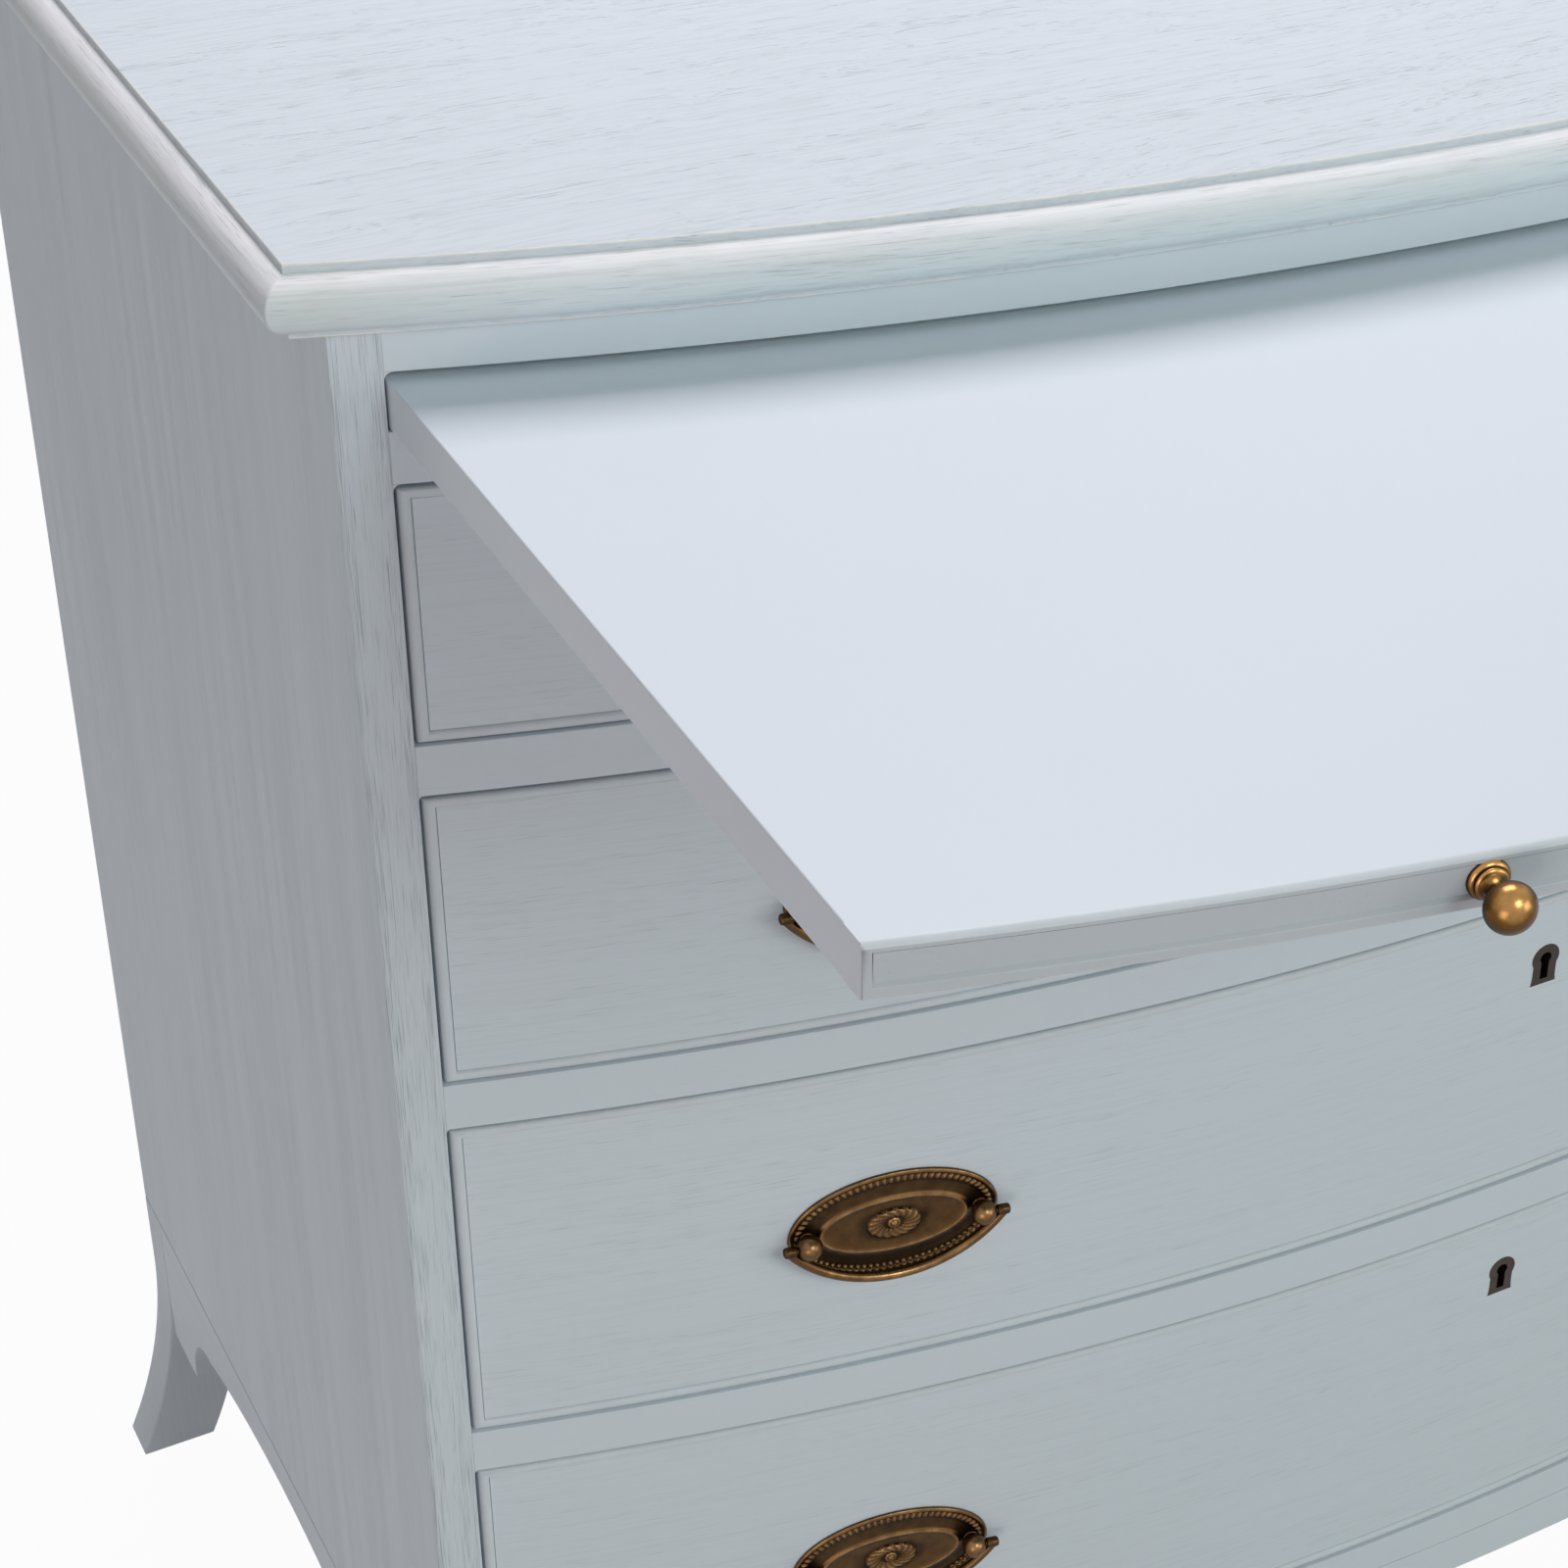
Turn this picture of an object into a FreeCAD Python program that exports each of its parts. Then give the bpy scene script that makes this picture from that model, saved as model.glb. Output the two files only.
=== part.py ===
import FreeCAD, Part
import os
import re

# Bow front chest of drawers with four graduated drawers and a brushing slide, in millimetres.
# +X is to the chest's right side, +Y to its back and +Z up. The floor is z = 0. The origin is
# under the middle of the chest's box with the slide drawn out, as the chest stands at rest.

doc = FreeCAD.newDocument("bow_front_chest")
sheet = doc.addObject("Spreadsheet::Sheet", "sizes")

DRAWERS = (1, 2, 3, 4)
SIDES = {"left": "-1", "right": "1"}

# Driving dimensions: alias, value in mm, what it is.
SIZES = [
    ("carcass_width", 960, "over the carcass sides"),
    ("carcass_depth", 454, "carcass side, front corner to back"),
    ("bow_rise", 70, "how far the bow stands out of the front corners"),
    ("side_thickness", 17, "carcass side board"),
    ("base_height", 156, "floor to the underside of the bottom board"),
    ("bottom_thickness", 20, "bottom board"),
    ("drawer_height_1", 102.5, "opening of the top drawer"),
    ("drawer_height_2", 128.5, "opening of the second drawer"),
    ("drawer_height_3", 155, "opening of the third drawer"),
    ("drawer_height_4", 181, "opening of the bottom drawer"),
    ("rail_height", 20.5, "rails between the drawers"),
    ("rail_depth", 50, "rail behind the line of the front corners"),
    ("slide_rail_height", 19.4, "rail under the slide"),
    ("slide_height", 21.6, "opening of the brushing slide"),
    ("top_rail_height", 15, "rail under the top"),
    ("top_thickness", 26, "top panel"),
    ("back_thickness", 8, "back panel and the depth of its rebate"),
    ("back_rebate", 8, "width of the rebate in the sides"),
    ("runner_width", 30, "drawer runners and slide kickers"),
    ("back_rail_depth", 45, "rail under the back of the top"),
    ("groove", 1, "groove between the carcass and its base"),
    ("panel_side_overhang", 11, "top panel past the carcass sides"),
    ("panel_front_overhang", 3, "top panel past the bow"),
    ("moulding_width", 9, "half round moulding past the top panel"),
    ("moulding_radius", 10.25, "half round moulding"),
    ("field_step", 2.8, "raised field of the top above its moulding"),
    ("slide_reach", 338, "how far the slide is drawn out at rest"),
    ("slide_thickness", 18, "slide board"),
    ("slide_side_gap", 1, "slide to the carcass side"),
    ("slide_back_gap", 0.5, "pushed in slide to the back panel"),
    ("edging_thickness", 10, "front edging of the slide"),
    ("edging_border", 3, "border around the edging's recess"),
    ("edging_recess", 1.2, "depth of the edging's recess"),
    ("run_gap", 0.3, "running gap of drawers and slide over their runners"),
    ("drawer_side_gap", 1.8, "drawer to the carcass side"),
    ("drawer_top_gap", 2.6, "drawer to the rail above"),
    ("front_inset", 2.5, "drawer front behind the bow"),
    ("front_thickness", 20, "drawer front"),
    ("bead_width", 4.2, "cock bead"),
    ("bead_inset", 1, "crest of the cock bead behind the bow"),
    ("box_thickness", 10, "drawer sides and back"),
    ("drawer_depth", 428, "drawer's back behind the front corners"),
    ("panel_thickness", 6, "drawer bottom"),
    ("panel_rise", 12, "underside of the drawer bottom over the drawer's lower edge"),
    ("box_drop", 8, "drawer sides and back below the front's top"),
    ("stop_length", 40, "drawer stop"),
    ("stop_width", 15, "drawer stop"),
    ("stop_height", 6, "drawer stop"),
    ("stop_inset", 120, "drawer stop from the carcass side"),
    ("handle_x", 296, "handles and knobs from the middle"),
    ("handle_drop", 6, "handle plate below the drawer's middle"),
    ("plate_length", 87, "oval handle plate"),
    ("plate_height", 52, "oval handle plate"),
    ("plate_thickness", 1.6, "oval handle plate"),
    ("post_spacing", 72, "posts of one handle"),
    ("post_ball", 9.6, "ball of a post, across"),
    ("post_reach", 6, "ball's centre out of the drawer front"),
    ("shank", 4, "post's threaded shank, across"),
    ("shank_gap", 0.1, "around the shank in the wood and the plate"),
    ("nut", 10, "post's nut, across"),
    ("nut_thickness", 3, "post's nut"),
    ("bail_rod", 4, "bail, across"),
    ("bail_drop", 22.5, "lowest middle of the bail below its pins"),
    ("bail_pin", 2.8, "pins of the bail, across"),
    ("pin_gap", 0.1, "around the pin in the post's ball"),
    ("ear_gap", 0.6, "ball to the bail's ear"),
    ("ear", 4.6, "ear at the bail's end, across"),
    ("ear_length", 5.4, "ear at the bail's end"),
    ("key_drop", 28.5, "top of the escutcheon below the opening's top"),
    ("escutcheon_width", 14, "escutcheon at its round top"),
    ("escutcheon_waist", 12, "escutcheon between its top and its foot"),
    ("escutcheon_foot", 13, "escutcheon at its foot"),
    ("escutcheon_height", 20.5, "escutcheon"),
    ("escutcheon_thickness", 3, "escutcheon, let into the front"),
    ("key_round", 5.4, "keyhole, across its round"),
    ("key_slot", 3.2, "keyhole's slot"),
    ("key_depth", 14, "keyhole into the front"),
    ("rose", 12.6, "knob's rose, across"),
    ("rose_thickness", 2.2, "knob's rose"),
    ("neck", 6, "knob's neck, across"),
    ("knob_ball", 15, "knob's ball, across"),
    ("knob_reach", 14.2, "ball's centre out of the edging's recess"),
    ("spigot", 4, "knob's spigot in the edging, across"),
    ("spigot_length", 7, "knob's spigot"),
    ("apron_thickness", 20, "front and side aprons"),
    ("apron_depth", 78, "carcass down to the aprons' shoulders by the feet"),
    ("shoulder_length", 37, "shoulder of an apron from its foot"),
    ("cove_radius", 36, "cove between shoulder and arch"),
    ("arch_drop", 38, "carcass down to the ends of the aprons' arches"),
    ("arch_rise", 16, "rise of the aprons' arches"),
    ("foot_width", 38, "feet, across the splay"),
    ("back_foot_depth", 25, "back feet, front to back"),
    ("splay", 25, "how far the feet stand out at the floor"),
    ("leg_straight", 42, "straight top of the feet, above the splay"),
    ("block", 34, "glue blocks in the base"),
    ("block_height", 60, "glue blocks in the base"),
]
for row, (alias, number, meaning) in enumerate(SIZES, start=1):
    sheet.set("A%d" % row, alias)
    sheet.set("B%d" % row, str(number))
    sheet.set("C%d" % row, meaning)
    sheet.setAlias("B%d" % row, alias)
doc.recompute()

# Places worked out from the driving dimensions, as formulas of their aliases.
PLACES = {
    "half": "carcass_width / 2",
    "inner": "half - side_thickness",
    "front_radius": "(half ^ 2 + bow_rise ^ 2) / (2 * bow_rise)",
    "front_y": "(bow_rise + slide_reach - carcass_depth) / 2",
    "back_y": "front_y + carcass_depth",
    "bow_y": "front_y - bow_rise + front_radius",
    "rail_back": "front_y + rail_depth",
    "panel_front": "back_y - back_thickness",
    "drawer_low_4": "base_height + bottom_thickness",
    "drawer_low_3": "drawer_low_4 + drawer_height_4 + rail_height",
    "drawer_low_2": "drawer_low_3 + drawer_height_3 + rail_height",
    "drawer_low_1": "drawer_low_2 + drawer_height_2 + rail_height",
    "slide_low": "drawer_low_1 + drawer_height_1 + slide_rail_height",
    "slide_high": "slide_low + slide_height",
    "carcass_top": "slide_high + top_rail_height",
    "top_z": "carcass_top + top_thickness",
    "panel_half": "half + panel_side_overhang",
    "outer_half": "panel_half + moulding_width",
    "outer_radius": "front_radius + panel_front_overhang + moulding_width",
    "moulding_high": "top_z - field_step",
    "moulding_z": "moulding_high - moulding_radius",
    "outer_corner_y": "bow_y - sqrt(outer_radius ^ 2 - outer_half ^ 2)",
    "mitre": "(90deg - asin(outer_half / outer_radius)) / 2",
    "slide_half": "inner - slide_side_gap",
    "slide_floor": "slide_low + run_gap",
    "slide_top": "slide_floor + slide_thickness",
    "slide_bow_y": "bow_y - slide_reach",
    "drawer_half": "inner - drawer_side_gap",
    "board_half": "drawer_half - bead_width",
    "drawer_back": "front_y + drawer_depth",
    "front_in": "front_inset + front_thickness",
    "handle_turn": "asin(handle_x / front_radius)",
    "ear_start": "post_spacing / 2 + post_ball / 2 + ear_gap",
    "ear_end": "ear_start + ear_length",
    "bail_half_span": "ear_end - bail_rod / 2",
    "arc_radius": "(bail_half_span ^ 2 + bail_drop ^ 2) / (2 * bail_drop)",
    "back_radius": "front_radius - front_in",
    "nut_seat": "front_thickness + back_radius - sqrt(back_radius ^ 2 - (post_spacing / 2 + nut / 2) ^ 2)",
    "splay_height": "base_height - leg_straight",
    "splay_radius": "(splay_height ^ 2 + splay ^ 2) / (2 * splay)",
    "foot_turn": "asin((half - foot_width / 2) / front_radius)",
    "apron_back": "back_y - back_foot_depth",
    "apron_shoulder": "base_height - apron_depth",
    "arch_spring": "base_height - arch_drop",
    "cove_z": "arch_spring - cove_radius",
}
WORD = re.compile(r"[a-z][a-z_]*[a-z](?:_?[0-9])?")
FUNCTIONS = ("sqrt", "asin", "sin", "cos", "tan", "deg")


def formula(text):
    """Writes a formula of places and aliases as an expression of the sheet's cells."""
    def cell(match):
        word = match.group(0)
        if word in FUNCTIONS:
            return word
        if word in PLACES:
            return "(" + formula(PLACES[word]) + ")"
        return "sizes." + word
    return WORD.sub(cell, text)


def bind(thing, **values):
    """Binds properties of an object to formulas."""
    for name, text in values.items():
        thing.setExpression(name, formula(text))
    return thing


def place(thing, x="0", y="0", z="0", turn=None, about=(0, 0, 1)):
    """Places an object at formulas for its base and, if asked, turns it about an axis."""
    if turn is not None:
        thing.Placement = FreeCAD.Placement(FreeCAD.Vector(), FreeCAD.Rotation(FreeCAD.Vector(*about), 10))
        thing.setExpression(".Placement.Rotation.Angle", formula(turn))
    for axis, text in zip("xyz", (x, y, z)):
        thing.setExpression(".Placement.Base." + axis, formula(text))
    return thing


def box(name, x, y, z):
    """A box between pairs of formulas along X, Y and Z."""
    thing = doc.addObject("Part::Box", name)
    lengths = ["(%s) - (%s)" % (high, low) for low, high in (x, y, z)]
    bind(thing, Length=lengths[0], Width=lengths[1], Height=lengths[2])
    return place(thing, x[0], y[0], z[0])


def rod(name, radius, length, x="0", y="0", z="0", along="z"):
    """A cylinder that starts at a point and runs along +X, +Y or +Z."""
    thing = doc.addObject("Part::Cylinder", name)
    bind(thing, Radius=radius, Height=length)
    if along == "x":
        return place(thing, x, y, z, turn="90deg", about=(0, 1, 0))
    if along == "y":
        return place(thing, x, y, z, turn="0deg - 90deg", about=(1, 0, 0))
    return place(thing, x, y, z)


def ball(name, radius, x="0", y="0", z="0"):
    return place(bind(doc.addObject("Part::Sphere", name), Radius=radius), x, y, z)


def common(name, *things):
    thing = doc.addObject("Part::MultiCommon", name)
    thing.Shapes = list(things)
    return thing


def fuse(name, *things):
    thing = doc.addObject("Part::MultiFuse", name)
    thing.Shapes = list(things)
    thing.Refine = True
    return thing


def cut(name, base, *tools):
    thing = doc.addObject("Part::Cut", name)
    thing.Base = base
    thing.Tool = tools[0] if len(tools) == 1 else group(name + "_tools", *tools)
    return thing


def group(name, *things):
    thing = doc.addObject("Part::Compound", name)
    thing.Links = list(things)
    return thing


def copy(name, thing, x="0", y="0", z="0", turn=None):
    """Another copy of an object, with a place and a turn about Z of its own."""
    return place(group(name, thing), x, y, z, turn)


nodes = []


def node(name, *things):
    """Names a sub-part: one object, or several separate solids as a group."""
    thing = things[0] if len(things) == 1 else group(name + "_group", *things)
    thing.Label = name
    nodes.append(thing)
    return thing


def bow(name, inset="0", centre="bow_y"):
    """The upright cylinder whose front is the bow of the chest, set back by an inset."""
    return rod(name, "front_radius - (%s)" % inset, "top_z + 2", "0", centre, "0 - 1")


# The bow surfaces that several pieces are cut to.
bow_face = bow("bow_face")
groove_face = bow("groove_face", "groove")
board_face = bow("board_face", "front_inset")
board_back = bow("board_back", "front_in")
bead_crest = bow("bead_crest", "bead_inset")
apron_back_face = bow("apron_back_face", "apron_thickness")


# ---- Top: panel with a raised field, and a half round moulding in three mitred strips ----

def top_panel():
    slab = box("top_slab", ("0 - panel_half", "panel_half"), ("front_y - 2 * bow_rise", "back_y"),
               ("carcass_top", "top_z"))
    node("top_panel", common("top_panel", slab, bow("panel_edge", "0 - panel_front_overhang")))


def top_moulding():
    """Half round strips: straight ones at the sides, and a ring's arc along the bow."""
    inside = "outer_half - moulding_radius"
    reach = ("outer_corner_y - 10", "back_y")
    band = ("moulding_z - moulding_radius", "moulding_high")
    strips = {}
    mitres = {}
    for side, sign in SIDES.items():
        round_bar = rod("moulding_bar_" + side, "moulding_radius", "(%s) - (%s)" % (reach[1], reach[0]),
                        "%s * (%s)" % (sign, inside), reach[0], "moulding_z", along="y")
        edges = ("panel_half", "outer_half") if side == "right" else ("0 - outer_half", "0 - panel_half")
        flat = box("moulding_band_" + side, edges, reach, band)
        strips[side] = common("moulding_strip_" + side, round_bar, flat)
        slab = box("mitre_slab_" + side, ("0 - half", "half"), ("0", "carcass_depth * 2"), ("0 - 1", "top_z"))
        turn = "mitre" if side == "left" else "0deg - mitre"
        mitres[side] = copy("mitre_" + side, slab, "%s * outer_half" % sign, "outer_corner_y", "0", turn)
    ring = bind(doc.addObject("Part::Torus", "moulding_ring"), Radius1="outer_radius - moulding_radius",
                Radius2="moulding_radius")
    place(ring, "0", "bow_y", "moulding_z")
    front_band = box("moulding_front_band", ("0 - outer_half", "outer_half"),
                     ("front_y - 2 * bow_rise", "front_y + bow_rise"), band)
    panel_edge = bow("moulding_seat", "0 - panel_front_overhang")
    arc = cut("moulding_arc", common("moulding_front", ring, front_band), panel_edge, *mitres.values())
    node("top_moulding", common("moulding_left", strips["left"], mitres["left"]), arc,
         common("moulding_right", strips["right"], mitres["right"]))


# ---- Carcass ----

def carcass_side(side, sign):
    """Side board, its front cut to the bow, rebated for the back panel and grooved at its foot."""
    def across(near, far):
        pair = ("%s * (%s)" % (sign, near), "%s * (%s)" % (sign, far))
        return pair if side == "right" else pair[::-1]
    board = box("side_board_" + side, across("inner", "half"), ("front_y - bow_rise", "back_y"),
                ("base_height", "carcass_top"))
    rebate = box("side_rebate_" + side, across("inner", "inner + back_rebate"), ("panel_front", "back_y"),
                 ("base_height", "carcass_top"))
    line = box("side_line_" + side, across("half - groove", "half"), ("front_y - bow_rise", "back_y"),
               ("base_height", "base_height + groove"))
    bowed = common("side_bowed_" + side, board, bow_face)
    node("side_" + side, cut("side_" + side, bowed, rebate, line))


def bowed_rail(name, low, high):
    strip = box(name + "_strip", ("0 - inner", "inner"), ("front_y - 2 * bow_rise", "rail_back"), (low, high))
    node(name, common(name, strip, bow_face))


def runner_pair(name, low, high):
    """Strips on both carcass sides, from the rail to the back panel."""
    outside = ("0 - inner", "runner_width - inner"), ("inner - runner_width", "inner")
    return [box("%s_%d" % (name, index), edges, ("rail_back", "panel_front"), (low, high))
            for index, edges in enumerate(outside)]


def carcass():
    for side, sign in SIDES.items():
        carcass_side(side, sign)
    width = ("0 - inner", "inner")
    node("back_panel", box("back_panel", ("0 - inner - back_rebate", "inner + back_rebate"),
                           ("panel_front", "back_y"), ("base_height", "carcass_top")))
    depth = ("front_y - 2 * bow_rise", "panel_front")
    upper = box("bottom_upper", width, depth, ("base_height + groove", "drawer_low_4"))
    lower = box("bottom_lower", width, depth, ("base_height", "base_height + groove"))
    node("bottom_board", fuse("bottom_board", common("bottom_body", upper, bow_face),
                              common("bottom_line", lower, groove_face)))
    bowed_rail("top_rail", "slide_high", "carcass_top")
    bowed_rail("slide_rail", "slide_low - slide_rail_height", "slide_low")
    for level in DRAWERS[:3]:
        bowed_rail("drawer_rail_%d" % level, "drawer_low_%d - rail_height" % level, "drawer_low_%d" % level)
    node("top_back_rail", box("top_back_rail", ("runner_width - inner", "inner - runner_width"),
                              ("panel_front - back_rail_depth", "panel_front"),
                              ("slide_high", "carcass_top")))
    node("slide_kickers", *runner_pair("slide_kicker", "slide_high", "carcass_top"))
    node("slide_runners", *runner_pair("slide_runner", "slide_low - slide_rail_height", "slide_low"))
    drawer_runners = []
    for level in DRAWERS[:3]:
        low = "drawer_low_%d" % level
        drawer_runners += runner_pair("drawer_runner_%d" % level, low + " - rail_height", low)
    node("drawer_runners", *drawer_runners)


def drawer_stops():
    """Blocks on the rails that meet the back of a pushed in drawer front."""
    stops = []
    seat = "bow_y - sqrt(back_radius ^ 2 - (inner - stop_inset) ^ 2) + run_gap"
    for level in DRAWERS:
        low = "drawer_low_%d" % level
        for side, sign in SIDES.items():
            middle = "%s * (inner - stop_inset - stop_length / 2)" % sign
            stops.append(box("stop_%d_%s" % (level, side), (middle + " - stop_length / 2",
                             middle + " + stop_length / 2"), (seat, seat + " + stop_width"),
                             (low, low + " + stop_height")))
    node("drawer_stops", *stops)


# ---- Base ----

def splay(name, thickness, turn):
    """A leg that splays towards -X: what lies between two equal round faces."""
    along = ("0 - 2 * foot_width", "2 * foot_width")
    outer = rod(name + "_outer", "splay_radius", "4 * foot_width", "0 - splay_radius", along[0],
                "splay_height", along="y")
    inner = rod(name + "_inner", "splay_radius", "4 * foot_width", thickness + " - splay_radius", along[0],
                "splay_height", along="y")
    blank = box(name + "_blank", ("0 - splay", thickness), along, ("0", "splay_height"))
    leg = cut(name + "_leg", common(name + "_inside", blank, inner), outer)
    upper = box(name + "_upper", ("0", thickness), along, ("splay_height", "base_height"))
    return place(group(name, fuse(name + "_whole", leg, upper)), turn=turn)


def feet():
    """Front feet splay forwards and sideways. Back feet splay sideways, flush with the back."""
    sideways = {"left": splay("splay_left", "foot_width", "0deg"),
                "right": splay("splay_right", "foot_width", "180deg")}
    for side, sign in SIDES.items():
        corner = "%s * half" % sign
        band = box("back_foot_band_" + side, ("0 - half - splay", "half + splay"), ("apron_back", "back_y"),
                   ("0", "base_height"))
        profile = copy("back_foot_profile_" + side, sideways[side], corner, "back_y - foot_width")
        node("foot_back_" + side, common("foot_back_" + side, profile, band))
        turn = "90deg + foot_turn" if side == "right" else "90deg - foot_turn"
        forwards = splay("splay_front_" + side, "foot_width + foot_width * tan(foot_turn)", turn)
        middle = "%s * (half - foot_width / 2)" % sign
        seat = "bow_y - sqrt(front_radius ^ 2 - (half - foot_width / 2) ^ 2)"
        front_profile = copy("front_foot_front_" + side, forwards, middle, seat)
        side_profile = copy("front_foot_side_" + side, sideways[side], corner, "front_y")
        depth = box("front_foot_band_" + side, ("0 - half - splay", "half + splay"),
                    ("front_y - bow_rise", "front_y + foot_width"), ("0", "base_height"))
        node("foot_front_" + side, common("foot_front_" + side, front_profile, side_profile, depth))


def scroll_cut(name, low, high, along):
    """What is sawn from under an apron between two ends: two coves and a shallow arch."""
    start = "%s + shoulder_length + cove_radius" % low
    end = "%s - (shoulder_length + cove_radius)" % high
    middle = "((%s) + (%s)) / 2" % (start, end)
    half_span = "((%s) - (%s)) / 2" % (end, start)
    arch_radius = "(((%s) ^ 2 + arch_rise ^ 2) / (2 * arch_rise))" % half_span
    through = ("0 - half", "half")

    def round_cut(part, radius, at, z):
        x, y = (through[0], at) if along == "x" else (at, through[0])
        return rod("%s_%s" % (name, part), radius, "2 * half", x, y, z, along=along)

    def square_cut(part, near, far, bottom, top):
        x, y = (through, (near, far)) if along == "x" else ((near, far), through)
        return box("%s_%s" % (name, part), x, y, (bottom, top))

    arch_z = "arch_spring + arch_rise - " + arch_radius
    arch = common(name + "_arch_top", round_cut("arch", arch_radius, middle, arch_z),
                  square_cut("arch_band", start, end, "arch_spring", "base_height"))
    return [arch,
            round_cut("cove_low", "cove_radius", start, "cove_z"),
            round_cut("cove_high", "cove_radius", end, "cove_z"),
            square_cut("under", start, end, "apron_shoulder - 1", "arch_spring"),
            square_cut("step_low", start + " - cove_radius", start, "apron_shoulder - 1", "cove_z"),
            square_cut("step_high", end, end + " + cove_radius", "apron_shoulder - 1", "cove_z")]


def aprons():
    ends = ("front_y + foot_width", "apron_back")
    for side, sign in SIDES.items():
        edges = ("0 - half", "apron_thickness - half")
        if side == "right":
            edges = ("half - apron_thickness", "half")
        board = box("side_apron_board_" + side, edges, ends, ("apron_shoulder", "base_height"))
        scroll = scroll_cut("side_scroll_" + side, *ends, "x")
        node("side_apron_" + side, cut("side_apron_" + side, board, *scroll))
    ends = ("foot_width - half", "half - foot_width")
    board = box("front_apron_board", ends, ("front_y - 2 * bow_rise", "front_y + foot_width"),
                ("apron_shoulder", "base_height"))
    curved = cut("front_apron_curved", common("front_apron_bowed", board, bow_face), apron_back_face)
    node("front_apron", cut("front_apron", curved, *scroll_cut("front_scroll", *ends, "y")))


def glue_blocks():
    """Blocks behind the side aprons, under the bottom board."""
    blocks = []
    for side, sign in SIDES.items():
        inside = "half - apron_thickness"
        edges = (inside + " - block", inside) if side == "right" else ("0 - (%s)" % inside,
                                                                      "block - (%s)" % inside)
        for index, y in enumerate(("front_y + foot_width", "apron_back - block")):
            blocks.append(box("glue_block_%s_%d" % (side, index), edges, (y, y + " + block"),
                              ("base_height - block_height", "base_height")))
    node("glue_blocks", *blocks)


# ---- Brushing slide, drawn out by slide_reach ----

def slide():
    width = ("0 - slide_half", "slide_half")
    depth = ("front_y - slide_reach - 2 * bow_rise", "panel_front - slide_back_gap - slide_reach")
    height = ("slide_floor", "slide_top")
    seat = bow("edging_seat", "edging_thickness", "slide_bow_y")
    node("slide_board", common("slide_board", box("slide_blank", width, depth, height), seat))
    face = bow("edging_face", "0", "slide_bow_y")
    blank = common("edging_blank", box("edging_box", width, depth, height), face)
    recess = box("recess_box", ("edging_border - slide_half", "slide_half - edging_border"), depth,
                 ("slide_floor + edging_border", "slide_top - edging_border"))
    floor = bow("recess_floor", "edging_recess", "slide_bow_y")
    knobs, drills = slide_knobs()
    node("slide_edging", cut("slide_edging", blank, seat, cut("recess", recess, floor), *drills))
    node("slide_knobs", *knobs)


def slide_knobs():
    """Turned knobs: a stepped rose, a waisted neck and a ball, out along the bow's normal."""
    step = place(bind(doc.addObject("Part::Cone", "knob_step"), Radius1="rose / 2", Radius2="neck / 2",
                      Height="rose_thickness / 2"), z="rose_thickness / 2")
    upright = fuse("knob_upright", rod("knob_spigot", "spigot / 2", "spigot_length + rose_thickness",
                                       z="0 - spigot_length"),
                   rod("knob_rose", "rose / 2", "rose_thickness / 2"), step,
                   rod("knob_neck", "neck / 2", "knob_reach"),
                   ball("knob_round", "knob_ball / 2", z="knob_reach"))
    blank = place(group("knob_blank", upright), turn="90deg", about=(1, 0, 0))
    drill_blank = rod("knob_drill_blank", "spigot / 2 + shank_gap", "spigot_length + shank_gap", along="y")
    radius = "(front_radius - edging_recess)"
    knobs, drills = [], []
    for side, sign in SIDES.items():
        at = ("%s * %s * sin(handle_turn)" % (sign, radius), "slide_bow_y - %s * cos(handle_turn)" % radius,
              "slide_floor + slide_thickness / 2", "%s * handle_turn" % sign)
        knobs.append(copy("knob_" + side, blank, *at))
        drills.append(copy("knob_drill_" + side, drill_blank, *at))
    return knobs, drills


# ---- Handles, first in a frame of their own: X along the plate, -Y out of the front ----

def handle_pieces():
    """Plate, posts with nuts, bail and the drill for the posts, at the origin of a drawer's front."""
    outline = bind(doc.addObject("Part::Ellipse", "plate_outline"), MajorRadius="plate_length / 2",
                   MinorRadius="plate_height / 2")
    place(outline, "0", "plate_thickness", turn="90deg", about=(1, 0, 0))
    blank = doc.addObject("Part::Extrusion", "plate_blank")
    blank.Base = outline
    blank.DirMode = "Custom"
    blank.Dir = FreeCAD.Vector(0, -1, 0)
    blank.Solid = True
    bind(blank, LengthFwd="3 * plate_thickness")
    seat = rod("plate_seat", "front_radius - front_inset", "4 * plate_height", "0",
               "front_radius - front_inset", "0 - 2 * plate_height")
    face = rod("plate_face", "front_radius - front_inset + plate_thickness", "4 * plate_height", "0",
               "front_radius - front_inset", "0 - 2 * plate_height")
    bent = cut("plate_bent", common("plate_faced", blank, face), seat)
    posts, drills = [], []
    for side, sign in SIDES.items():
        x = "%s * post_spacing / 2" % sign
        round_head = ball("post_head_" + side, "post_ball / 2", x, "0 - post_reach")
        shank = rod("post_shank_" + side, "shank / 2", "post_reach + nut_seat + nut_thickness", x,
                    "0 - post_reach", along="y")
        bore = rod("post_bore_" + side, "bail_pin / 2 + pin_gap", "post_ball + 2", x + " - post_ball / 2 - 1",
                   "0 - post_reach", along="x")
        drill = rod("post_drill_" + side, "shank / 2 + shank_gap", "2 * front_thickness + 2 * post_reach",
                    x, "0 - front_thickness", along="y")
        nut_blank = rod("nut_blank_" + side, "nut / 2", "nut_thickness", x, "nut_seat", along="y")
        posts.append(cut("post_" + side, fuse("post_solid_" + side, round_head, shank), bore))
        posts.append(cut("nut_" + side, nut_blank, drill))
        drills.append(drill)
    plate = cut("plate_drilled", bent, *drills)
    return group("handle_fixed", plate, *posts), handle_bail(), group("handle_drills", *drills)


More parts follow.
